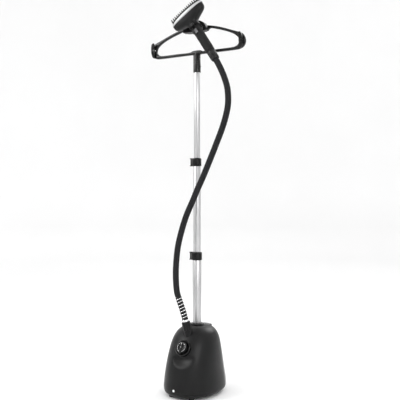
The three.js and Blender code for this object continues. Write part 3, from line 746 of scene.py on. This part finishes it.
# The water tank: smoke-tinted clear polycarbonate that makes up the rear of the bell and lifts off backwards.
# A neck under it takes the screw cap, and a pocket on top takes the fold-up handle.
TANK_FACE = 0.039
TANK_TOP = 0.258
HANDLE_Y, HANDLE_Z = 0.06, 0.261
HINGE_BACK = 0.0146
RIM_TOP = 0.2626
LEVEL_MARKS = (0.075, 0.115, 0.155, 0.195)
CAP_RIDGES = 24


def plate(points, low, high, width=0.0006, segments=2):
    """A flat outline given a thickness, with its edges rounded."""
    bm = bmesh.new()
    verts = [bm.verts.new((x, y, low)) for x, y in points]
    made = bmesh.ops.contextual_create(bm, geom=verts)["faces"]
    grown = bmesh.ops.extrude_face_region(bm, geom=made)["geom"]
    lifted = [g for g in grown if isinstance(g, bmesh.types.BMVert)]
    bmesh.ops.translate(bm, vec=(0, 0, high - low), verts=lifted)
    bmesh.ops.recalc_face_normals(bm, faces=bm.faces)
    return ease(bm, width, segments, 50) if width else bm


def cut(bm, *cutters):
    """Cuts shapes out of a bmesh and gives the rest back as a new one."""
    return melt(carve(show("blank", bm, satin_black), *cutters))


def handle_outline(margin=0.0):
    """The handle from above: straight along its hinge and half an oval behind it, grown by a margin."""
    arc = [(cos(pi * i / 28), sin(pi * i / 28)) for i in range(29)]
    back = [((0.033 + margin) * x, -0.004 + (0.019 + margin) * y) for x, y in arc]
    hinge = 0.026 + 3 * margin
    return [(-hinge, -HINGE_BACK - 5 * margin), (hinge, -HINGE_BACK - 5 * margin), *back]


smoke = Finish("smoke_polycarbonate", IOR=1.58, Transmission_Weight=0.3, Specular_IOR_Level=0.28)
clouding = smoke.noise(26, 4, (1, 1, 0.4))
smoke.feed("Base Color", smoke.mix(clouding, (0.008, 0.008, 0.009, 1), (0.016, 0.017, 0.018, 1)))
smoke.feed("Roughness", smoke.ramp(clouding, 0.3, 0.7, 0.16, 0.26))
smoke.raise_by(smoke.noise(14, 2), 0.0003, 0.3)
tank = cleave(loft(rows_between(HOUSING[0], TANK_TOP), BELL_POWER), TANK_FACE, False)
tank = wall(show("tank", tank, smoke), 0.0025)
pocket = move(plate(handle_outline(0.0006), 0.256, 0.29, 0), 0, HANDLE_Y)
rim = move(plate(handle_outline(0.0026), 0.246, RIM_TOP, 0), 0, HANDLE_Y)
rim = cut(rim, block(-0.1, 0.1, 0.0, TANK_FACE, 0.2, 0.3), pocket.copy())
tank = melt(carve(tank, pocket, move(rod(0.012, 0.01, 0.04), *CAP_AT)))
neck = turn([(0.012, 0.021), (0.015, 0.021), (0.015, 0.034), (0.012, 0.034)], 48)
for z in (0.0222, 0.0246):
    together(neck, turn([(0.0149, z - 0.0007), (0.0152, z), (0.0149, z + 0.0007)], 48))
together(tank, ease(rim, 0.0007, 2, 50), move(neck, *CAP_AT))
for level in LEVEL_MARKS:
    tick = ease(block(-0.012, 0.012, 0.0, 0.0008, level - 0.0005, level + 0.0005), 0.0002)
    rear = next(row for row in rows_between(*HOUSING) if row[0] >= level)[3]
    together(tank, move(tick, 0, rear - 0.0006))
fit(show("smoke_water_tank", move(tank, 0, POLE_Y), smoke), "smoke_plastic", "tank", "water_tank")

grey_plastic = moulded("silver_grey_plastic", 0.13, 0.4, grain=0.8, shine=0.4)
window = plate([(-0.018, 0.004), (0.018, 0.004), (0.015, 0.011), (-0.015, 0.011)], -0.005, 0.005, 0)
slab = ease(cut(plate(handle_outline(), -0.0024, 0.0024, 0), window), 0.0011, 3, 50)
hinge_rod = move(tip(rod(0.0024, -0.024, 0.024, 24), pi / 2, "Y"), 0, -HINGE_BACK)
carry = move(together(slab, hinge_rod), 0, POLE_Y + HANDLE_Y, HANDLE_Z)
fit(show("fold_up_tank_handle", carry, grey_plastic), "grey_plastic", "tank_grip", "tank_handle")

cap = turn([
    (0.0026, 0.013), (0.0165, 0.013), (0.0176, 0.0136), (0.0176, 0.0268), (0.0174, 0.027), (0.0154, 0.027),
    (0.0154, 0.016), (0.0026, 0.016),
], 72)
for i in range(CAP_RIDGES):
    ridge = ease(block(0.0170, 0.0180, -0.0007, 0.0007, 0.0145, 0.0262), 0.0003, 1)
    together(cap, tip(ridge, 2 * pi * i / CAP_RIDGES, "Z"))
cap = show("tank_screw_cap", move(cap, CAP_AT[0], POLE_Y + CAP_AT[1]), satin_black)
fit(cap, "black_plastic", "tank_closure", "tank_cap")
plunger = turn([
    (0, 0.0115), (0.0022, 0.0115), (0.0022, 0.017), (0.0086, 0.0172), (0.009, 0.0176), (0.009, 0.0188),
    (0.0086, 0.019), (0.0022, 0.020), (0.0022, 0.030), (0, 0.030),
], 32)
plunger = move(ease(plunger, 0.0002), CAP_AT[0], POLE_Y + CAP_AT[1])
fit(show("sprung_valve_plunger", plunger, nylon), "white_plastic", "valve", "valve_plunger")


# The pole: three nested tubes of drawn and anodised aluminium with shallow flutes along them. Each slides in
# the one below on a black nylon bush, and a moulded sleeve finishes the top.
TUBES = {
    "lower": (0.0175, 0.0013, 0.200, 0.552, "root"),
    "middle": (0.0150, 0.0012, 0.480, 0.931, "pole_middle"),
    "upper": (0.0125, 0.0012, 0.860, 1.3564, "pole_upper"),
}
FLUTES = 16
FLUTE_DEEP = 0.0004
TUBE_SIDES = 6 * FLUTES
BUTTON_Z = 1.308
anodised = Finish("anodised_aluminium", Metallic=1.0)
drawn = anodised.noise(60, 4, (14, 14, 0.25), 0.6)
cloud = anodised.noise(7, 3)
across, deep, _ = anodised.axes(anodised.where(shift=(0, -POLE_Y, 0)))
# Painted shade: the colour is darkened along each flute of the tube, as if the grooves lay in shade. The
# drawn streaks and the cloud are the metal's own marks.
flute_shade = anodised.ramp((across.math("ARCTAN2", deep) * FLUTES).math("COSINE"), 0.55, 0.95)
streaks_and_flute_shade = anodised.ramp(drawn * 0.5 + cloud * 0.2 - flute_shade * 0.35, 0.0, 0.45)
anodised.feed("Base Color", anodised.mix(streaks_and_flute_shade, grey(0.30, 1.015), grey(0.66, 1.01)))
anodised.feed("Roughness", anodised.ramp(drawn, 0.3, 0.7, 0.3, 0.46))
anodised.raise_by(drawn, 0.00015)


def button_hole(y=0.0):
    return move(tip(rod(0.0042, 0.008, 0.020), pi / 2, "Y"), 0, y, BUTTON_Z)


for size, (radius, thick, low, high, body) in TUBES.items():
    fluted = turn([
        (radius - thick, low), (radius - 0.0004, low), (radius, low + 0.0005), (radius, high - 0.0005),
        (radius - 0.0004, high), (radius - thick, high),
    ], TUBE_SIDES)
    for v in fluted.verts:
        step = round(atan2(v.co.y, v.co.x) / (2 * pi) * TUBE_SIDES) % 6
        if v.co.xy.length > radius - 0.0002 and step == 0:
            v.co.xy *= 1 - FLUTE_DEEP / radius
    fluted = show(f"{size}_pole_tube", move(fluted, 0, POLE_Y), anodised, 60)
    fit(fluted, "pole_metal", body, f"tube_{size}")
    if size == "upper":
        carve(fluted, button_hole(POLE_Y), sharp=60)
dress(satin_black, "bush_middle", "bush_upper")

sleeve_black = moulded("sleeve_black_plastic", 0.007, 0.24, grain=0.4, shine=0.35)
sleeve = turn([
    (0.0129, 1.285), (0.0144, 1.285), (0.0150, 1.2858), (0.0150, 1.2895), (0.0146, 1.2900), (0.0146, 1.2910),
    (0.0150, 1.2915), (0.0150, 1.3555), (0.0144, 1.3564), (0.0129, 1.3564),
], 72)
sleeve = cut(sleeve, button_hole())
for i in (-2, -1, 1, 2):
    rib = ease(block(-0.0006, 0.0006, -0.0152, -0.0146, 1.296, 1.350), 0.0002)
    together(sleeve, tip(rib, i * 0.16 + 0.5, "Z"))
fit(show("top_sleeve", move(sleeve, 0, POLE_Y), sleeve_black), "black_plastic", "pole_upper", "pole_sleeve")
button = turn([
    (0, 0), (0.0037, 0), (0.0037, 0.0038), (0.0033, 0.0049), (0.0022, 0.0054), (0.0012, 0.0052), (0, 0.0051),
], 40)
button = move(tip(button, pi / 2, "Y"), 0.0118, POLE_Y, BUTTON_Z)
fit(show("release_push_button", button, gloss_black), "gloss_plastic", "release_button", "sleeve_button")


# The clamps: a black nylon collar split down one side round the end of each outer tube, and a cam lever on a
# steel pin that wraps half round it and squeezes the split shut.
CLAMP_HALF, LEVER_HALF = 0.016, 0.012
PIN_R = 0.002
CLAMPS = [
    ("lower", 0.544, 0.0175, 0.0150, "root", "lever_lower"),
    ("upper", 0.923, 0.0150, 0.0125, "pole_middle", "lever_upper"),
]


def arc_band(inner, outer, low, high, first, last, steps=40):
    """Part of a ring, from one angle to another, with both ends closed."""
    bm = bmesh.new()
    verts = [bm.verts.new((r, 0, z)) for r, z in ((inner, low), (outer, low), (outer, high), (inner, high))]
    edges = [bm.edges.new(pair) for pair in zip(verts, verts[1:] + verts[:1])]
    tip(bm, radians(first), "Z")
    swept = {"cent": (0, 0, 0), "axis": (0, 0, 1), "angle": radians(last - first), "steps": steps}
    far = bmesh.ops.spin(bm, geom=verts + edges, **swept)["geom_last"]
    bmesh.ops.contextual_create(bm, geom=verts)
    bmesh.ops.contextual_create(bm, geom=[g for g in far if isinstance(g, bmesh.types.BMVert)])
    bmesh.ops.recalc_face_normals(bm, faces=bm.faces)
    return bm


def steel_pin(half, straight, end_radius):
    """A steel pin with its ends broken, upright at the origin."""
    return turn([
        (0, -half), (end_radius, -half), (PIN_R, -straight), (PIN_R, straight), (end_radius, half), (0, half),
    ], 32)


for size, z, outer, inner, body, lever_body in CLAMPS:
    band, bore, neck = outer + 0.0026, outer + 0.0004, inner + 0.0004
    pin_x = -band - 0.007
    collar = turn([
        (bore, -0.016), (band - 0.0004, -0.016), (band, -0.0156), (band, 0.0125), (band - 0.0004, 0.0134),
        (band - 0.0016, 0.0152), (band - 0.0026, 0.016), (neck, 0.016), (neck, 0.0095), (bore, 0.0095),
    ], 80)
    collar = cut(collar, block(-band - 0.002, -neck + 0.001, -0.0008, 0.0008, -LEVER_HALF, LEVER_HALF))
    for low, high in ((-CLAMP_HALF, -LEVER_HALF - 0.0004), (LEVER_HALF + 0.0004, CLAMP_HALF)):
        lug = plate([
            (-bore - 0.001, -0.006), (-bore - 0.001, 0.006), (pin_x - 0.004, 0.006), (pin_x - 0.007, 0.002),
            (pin_x - 0.007, -0.004), (pin_x - 0.005, -0.006),
        ], low, high, 0)
        lug = ease(cut(lug, move(rod(0.0024, -0.02, 0.02, 32), pin_x)), 0.0005, 2, 40)
        together(collar, lug)
    collar = show(f"{size}_clamp_collar", move(collar, 0, POLE_Y, z), satin_black)
    fit(collar, "black_plastic", body, f"clamp_{size}_body")
    pin = show(f"{size}_clamp_pin", move(steel_pin(CLAMP_HALF, 0.0155, 0.0016), pin_x, POLE_Y, z), bright)
    fit(pin, "bright_metal", body, f"clamp_{size}_pin")
    lever = ease(arc_band(band + 0.0009, band + 0.0042, -LEVER_HALF, LEVER_HALF, 184, 298), 0.0009, 3, 40)
    link = ease(block(pin_x, -band - 0.0012, -0.0055, -0.0015, -LEVER_HALF, LEVER_HALF), 0.0006)
    knuckle = turn([
        (0.0024, -LEVER_HALF), (0.0056, -LEVER_HALF), (0.0056, LEVER_HALF), (0.0024, LEVER_HALF),
    ], 40)
    together(lever, link, move(ease(knuckle, 0.0005), pin_x))
    for k in range(4):
        ridge = ease(block(band + 0.0040, band + 0.0046, -0.0005, 0.0005, -0.0095, 0.0095), 0.0002)
        together(lever, tip(ridge, radians(274 + 6 * k), "Z"))
    lever = show(f"{size}_clamp_lever", move(lever, 0, POLE_Y, z), satin_black)
    fit(lever, "black_plastic", lever_body, f"clamp_{size}_lever")


# The hanger: one closed loop of glossy black nylon, shaped like two shoulders over a trouser bar, with a plug
# that pushes into the top tube. A sprung clip swings on a steel pin at each end.
HALF_OUTSIDE = [
    (0, 1474), (45, 1470), (89, 1461), (130, 1448), (165, 1435), (192, 1425), (207, 1418), (216, 1406),
    (219, 1392), (216, 1376), (207, 1365), (190, 1358.5), (168, 1357.4), (90, 1357.4),
]
HALF_INSIDE = [
    (0, 1444), (45, 1446), (62, 1456), (89, 1450), (130, 1437), (163, 1423), (179, 1412.5), (189, 1402),
    (192, 1391), (188.5, 1379.5), (180, 1372.5), (167, 1369.2), (150, 1368.6), (90, 1368.6), (28, 1368.8),
    (19, 1372.5), (0, 1374),
]
CLIP_X, CLIP_Z, CLIP_FORWARD = 0.207, 1.392, 0.013
FRAME_HALF = 0.007
hanger_gloss = moulded("hanger_gloss_nylon", 0.004, 0.16, grain=0.15, shine=0.3)


def both_sides(half):
    """The whole outline of the loop, from the points of its right half."""
    right = smooth_line([Vector((x, z, 0)) / 1000 for x, z in half], 0.005)
    left = [Vector((-p.x, p.y, 0)) for p in reversed(right) if p.x > 0.0005]
    return [(p.x, p.y) for p in right + left]


solid_loop = plate(both_sides(HALF_OUTSIDE), -FRAME_HALF, FRAME_HALF, 0)
loop = tip(ease(cut(solid_loop, plate(both_sides(HALF_INSIDE), -0.02, 0.02, 0)), 0.0036, 4, 60), pi / 2, "X")
for side in (-1, 1):
    ear = move(block(-0.003, 0.003, -0.018, -0.004, -0.005, 0.005), side * CLIP_X, 0, CLIP_Z)
    together(loop, ease(ear, 0.0014, 3))
plug = turn([(0, 1.316), (0.0096, 1.316), (0.0108, 1.318), (0.0108, 1.360), (0, 1.360)], 48)
saddle = turn([
    (0, 1.3572), (0.0152, 1.3572), (0.0156, 1.3580), (0.0150, 1.3660), (0.0125, 1.3712), (0, 1.373),
])
bmesh.ops.scale(saddle, vec=(1.45, 0.47, 1), verts=saddle.verts)
together(loop, plug, saddle)
loop = show("hanger_loop", move(loop, 0, POLE_Y), hanger_gloss, 50)
fit(loop, "gloss_plastic", "pole_upper", "hanger_frame")

CLIP_CHEEK = [
    (-16.5, -24), (-12, -28.5), (-6, -31), (-1, -28), (2.2, -22), (4.2, -12), (4.8, 0), (4.2, 12), (1.8, 22),
    (-1.5, 28), (-7, 31), (-13, 28.5), (-16.5, 23), (-14.5, 12), (-13.2, 0), (-14.2, -12),
]
CLIP_PROFILE = [
    (5.4, -31), (1.5, -31), (-1.8, -18), (-4.5, -4), (-4.7, 5), (-6.2, 17), (-8, 28), (-7, 30.6), (-5, 31),
    (-4.0, 29), (-2.5, 24), (0, 14), (2.8, 5), (2.9, -5), (3.6, -16),
]
CLIP_RIDGES, CLIP_TEETH = 5, 6


def cheek(side):
    """The outline of a clip seen from the front, curved like the end of the loop."""
    ring = smooth_line([Vector((side * x, z, 0)) / 1000 for x, z in CLIP_CHEEK], 0.003)
    return tip(plate([(p.x, p.y) for p in ring], -0.04, 0.04, 0), pi / 2, "X")


for side, hand in ((-1, "left"), (1, "right")):
    jaw = smooth_line([Vector((y, z, 0)) / 1000 for y, z in CLIP_PROFILE], 0.002)
    jaw = plate([(p.x, p.y) for p in jaw], -0.011, 0.011, 0)
    bmesh.ops.rotate(jaw, cent=(0, 0, 0), matrix=Matrix(((0, 0, 1), (1, 0, 0), (0, 1, 0))), verts=jaw.verts)
    bmesh.ops.recalc_face_normals(jaw, faces=jaw.faces)
    pin_hole = tip(rod(0.0024, -0.02, 0.02, 32), pi / 2, "Y")
    board = plate([(-0.03, -0.04), (0.03, -0.04), (0.03, 0.04), (-0.03, 0.04)], -0.03, 0.03, 0)
    spare = cut(tip(board, pi / 2, "X"), cheek(side))
    jaw = cut(jaw, block(-0.0036, 0.0036, -0.012, 0.008, -0.0065, 0.0065), pin_hole, spare)
    jaw = ease(jaw, 0.0009, 3, 50)
    for k in range(CLIP_RIDGES):
        ridge = ease(block(-0.0055, 0.0055, -0.0012, 0.0, -0.0005, 0.0005), 0.0003)
        together(jaw, move(ridge, side * -0.0072, -0.0058 - 0.0004 * k, 0.0165 + 0.0024 * k))
    for k in range(CLIP_TEETH):
        tooth = ease(block(-0.0045, 0.0045, 0.0, 0.0012, -0.0004, 0.0004), 0.0003)
        together(jaw, move(tooth, side * -0.0072, 0.0044, -0.0295 + 0.0022 * k))
    jaw = move(jaw, side * CLIP_X, POLE_Y - CLIP_FORWARD, CLIP_Z)
    jaw = show(f"{hand}_trouser_clip", jaw, hanger_gloss, 50)
    fit(jaw, "gloss_plastic", f"clip_{hand}", f"hanger_clip_{hand}")
    pin = tip(steel_pin(0.009, 0.0086, 0.0017), pi / 2, "Y")
    pin = move(pin, side * (CLIP_X - 0.0045), POLE_Y - CLIP_FORWARD, CLIP_Z)
    fit(show(f"{hand}_clip_pin", pin, bright), "bright_metal", "pole_upper", f"clip_pin_{hand}")


# The hub: a domed black cover screwed to the front of the hanger's crown, with an arm and an open half-round
# cradle that the neck of the steam head drops into.
HUB_OUTLINE = [
    (-50, 1444), (5, 1444), (60, 1444), (58.5, 1454), (56, 1462), (46, 1476), (30, 1485), (8, 1488),
    (-14, 1485), (-34, 1474), (-47, 1458),
]
HANDSET_AT = (0.116, -0.055, 1.317)
HANDSET_LEAN = radians(-33.75)
NECK = 0.165


def on_handset(bm):
    """Leans a shape made along Z to stand where the steam head hangs."""
    return move(tip(bm, HANDSET_LEAN, "Y"), HANDSET_AT[0], HANDSET_AT[1] + POLE_Y, HANDSET_AT[2])


dome = [(x / 1000, z / 1000) for x, z in HUB_OUTLINE]
dome = tip(plate(dome, FRAME_HALF + 0.0004, 0.030, 0), pi / 2, "X")
corners = [e for e in dome.edges if abs(e.verts[0].co.y - e.verts[1].co.y) > 0.01]
rounding = {"profile": 0.5, "affect": "EDGES", "material": -1, "clamp_overlap": True}
bmesh.ops.bevel(dome, geom=corners, offset=0.006, segments=4, **rounding)
front = [e for e in dome.edges if all(v.co.y < -0.029 for v in e.verts)]
bmesh.ops.bevel(dome, geom=front, offset=0.006, segments=5, **rounding)
dome = move(dome, 0, POLE_Y)
bore = on_handset(rod(0.0195, 0.12, 0.20, 96))
dome = cut(dome, bore, on_handset(block(-0.1, 0.1, -0.04, 0.0265, NECK - 0.0004, 0.24)))
cradle = ease(arc_band(0.0195, 0.024, 0.146, NECK - 0.0006, 8, 172), 0.0009, 3, 40)
arm = on_handset(ease(block(-0.016, 0.016, 0.0195, 0.032, 0.147, NECK - 0.0014), 0.0012, 3))
arm = cut(arm, on_handset(rod(0.0205, 0.12, 0.20, 96)))
hub = show("hub_and_cradle", together(dome, on_handset(cradle), arm), satin_black)
fit(hub, "black_plastic", "pole_upper", "hub_cradle")


# The steam head's handle: a ribbed cuff that holds the hose, and a matte grip with a fine diagonal grain and
# a slot for the thumb slider that lets the steam through.
SLIDER_SLOT = (0.1294, 0.1620)
GRIP_R, GRAIN = 0.019, 2600
CUFF_RIBS = 16
grip_black = Finish("diagonal_grain_grip", IOR=1.49, Specular_IOR_Level=0.18)
place = grip_black.lay("ShaderNodeTexCoord", out="Object")
foot = (HANDSET_AT[0], HANDSET_AT[1] + POLE_Y, HANDSET_AT[2])
centred = grip_black.lay("ShaderNodeVectorMath", {"operation": "SUBTRACT"}, [place, foot])
settings = {"rotation_type": "Y_AXIS"}
upright = grip_black.lay("ShaderNodeVectorRotate", settings, {"Vector": centred, "Angle": -HANDSET_LEAN})
across, deep, along = grip_black.axes(upright)
around = across.math("ARCTAN2", deep) * GRIP_R
weave = ((around + along) * GRAIN).math("SINE") * ((around - along) * GRAIN).math("SINE")
grime = grip_black.noise(70, 4)
shade = grip_black.ramp(weave * 0.5 + grime, 0.1, 1.0)
grip_black.feed("Base Color", grip_black.mix(shade, grey(0.004), grey(0.016)))
grip_black.feed("Roughness", grip_black.ramp(grime + weave * 0.1, 0.3, 0.7, 0.5, 0.66))
grip_black.raise_by(weave, 0.0002)

cuff = turn([
    (0.013, 0.0005), (0.0150, 0.0), (0.0158, 0.0006), (0.0168, 0.0025), (0.0168, 0.0382), (0.0160, 0.0392),
    (0.013, 0.0396),
], 96)
for i in range(CUFF_RIBS):
    rib = ease(block(0.0162, 0.0172, -0.0013, 0.0013, 0.0045, 0.0365), 0.0005)
    together(cuff, tip(rib, 2 * pi * i / CUFF_RIBS, "Z"))
fit(show("hose_cuff", on_handset(cuff), sleeve_black), "black_plastic", "handset", "handle_cuff")
grip = turn([
    (0.013, 0.0400), (0.0178, 0.0400), (0.0182, 0.0404), (0.0184, 0.0435), (0.0179, 0.0440), (0.0179, 0.0450),
    (0.0185, 0.0455), (0.0190, 0.052), (0.0189, 0.075), (0.0186, 0.090), (0.0188, 0.110), (0.0190, 0.130),
    (0.0190, 0.1600), (0.0186, 0.1641), (0.0180, 0.1646), (0.006, 0.1646), (0.006, 0.100), (0.013, 0.096),
], 96)
grip = cut(grip, block(-0.0065, 0.0065, -0.025, -0.0135, *SLIDER_SLOT))
guard = block(-0.0082, 0.0082, -0.0202, -0.0150, SLIDER_SLOT[0] - 0.002, SLIDER_SLOT[1] + 0.0015)
guard = cut(ease(guard, 0.0008), block(-0.0066, 0.0066, -0.025, -0.0135, *SLIDER_SLOT))
barrel = show("handle_barrel", on_handset(together(grip, guard)), grip_black)
fit(barrel, "black_plastic", "handset", "handle_grip")
thumb = ease(block(-0.006, 0.006, -0.0205, -0.014, 0.1300, 0.149), 0.0008, 3)
for k in range(4):
    ridge = move(block(-0.0052, 0.0052, -0.0225, -0.0195, 0.1396, 0.1408), 0, 0, 0.0022 * k)
    together(thumb, ease(ridge, 0.0004))
thumb = show("steam_thumb_slider", on_handset(thumb), grey_plastic)
fit(thumb, "grey_plastic", "steam_slider", "steam_switch")


# The steam head's fan: a black shell that flares from a slotted neck collar, a silver plate with a row of
# steam holes, and a clip-on brush bar with fifteen tapered nylon bristles.
SHELL_ROWS = [
    (165, 22.5, -22.5, 22.5), (166, 22.5, -22.5, 22.5), (173, 22.5, -22.5, 22.5), (174.5, 21.8, -21.8, 21.8),
    (176.5, 20, -20, 20), (184, 25, -21, 21), (190, 35, -22, 22), (197, 55, -23, 23), (203, 70, -24, 24),
    (210, 76, -24.5, 24.5), (218, 77.6, -24.9, 24.9), (226, 78, -25, 25),
]
PLATE_ROWS = [
    (226.4, 77, -24, 24), (227.0, 78.6, -25.2, 25.2), (228.2, 79.5, -26, 26), (231.5, 79.2, -25.8, 25.8),
    (234.2, 78, -25, 25), (235.4, 75.8, -23.6, 23.6), (236, 71, -20, 20),
]
PARTING_BOW = 0.0048
BRUSH_ROWS = [
    (236.5, 73.5, -24, 24), (237.2, 74.5, -25, 25), (240.5, 74, -24.6, 24.6), (242.2, 72.6, -23.6, 23.6),
    (243, 70, -22, 22),
]
FAN_POWER, PLATE_POWER = 2 / 2.4, 2 / 2.2
VENTS = 14
BRISTLES, BRISTLE_Y, BRISTLE_SPAN = 15, -0.012, 0.132


def bow(bm, fixed, edge, half):
    """Draws the edge between shell and plate down towards the middle of the head."""
    for v in bm.verts:
        share = max(0.0, min(1.0, (v.co.z - fixed) / (edge - fixed)))
        v.co.z -= PARTING_BOW * share * max(0.0, 1 - (v.co.x / half) ** 2)
    return bm


def millimetres(rows):
    return [tuple(value / 1000 for value in row) for row in rows]


fan_rows = [tuple(row) for row in smooth_line([Vector(row) / 1000 for row in SHELL_ROWS], 0.004)]
fan = loft(fan_rows, FAN_POWER, 128, shut_low=True, shut_high=False)
fan = melt(wall(show("fan", bow(fan, 0.203, 0.226, 0.078), satin_black), 0.0028))
vents = []
for i in range(VENTS):
    vent = block(0.0200, 0.024, -0.0011, 0.0011, 0.1672, 0.1722)
    vents.append(tip(vent, 2 * pi * i / VENTS + 0.1, "Z"))
fan = cut(fan, rod(0.0066, 0.15, 0.20), *vents)
fit(show("fan_shell", on_handset(fan), satin_black), "black_plastic", "handset", "head_shell")

silver = Finish("silver_plate_finish", Metallic=0.4, Specular_IOR_Level=0.3)
flow_marks = silver.noise(40, 4, (1, 1, 1), 0.6)
silver.feed("Base Color", silver.mix(flow_marks, grey(0.40, 1.01), grey(0.52, 1.01)))
silver.feed("Roughness", silver.ramp(flow_marks, 0.3, 0.7, 0.26, 0.4))
silver.raise_by(silver.noise(1500), 0.0001)
face = bow(loft(millimetres(PLATE_ROWS), PLATE_POWER, 128, shut_low=True), 0.2345, 0.2264, 0.0795)
holes = []
for i in range(-4, 5):
    aside = 0.007 * (abs(i) % 2) * (1 if i > 0 else -1)
    holes.append(move(rod(0.002, 0.22, 0.25, 24), 0.014 * i, aside))
face = show("steam_face_plate", on_handset(ease(cut(face, *holes), 0.0003, 2, 60)), silver)
fit(face, "grey_plastic", "handset", "steam_plate")

bristle_black = moulded("nylon_bristle", 0.004, 0.3, grain=0.3, shine=0.3)
bar = loft(millimetres(BRUSH_ROWS), PLATE_POWER, 96, shut_low=True)
for i in range(BRISTLES):
    bristle = turn([
        (0, 0.242), (0.0036, 0.242), (0.0031, 0.2436), (0.0026, 0.2452), (0.0024, 0.2490), (0.0019, 0.2538),
        (0.0012, 0.2547), (0, 0.255),
    ], 20)
    together(bar, move(bristle, BRISTLE_SPAN * (i / (BRISTLES - 1) - 0.5), BRISTLE_Y))
fit(show("brush_bar", on_handset(bar), bristle_black), "black_plastic", "brush_body", "brush")


# The size of the finished model: the bounds of everything shown, apart from the backdrop.
low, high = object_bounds()
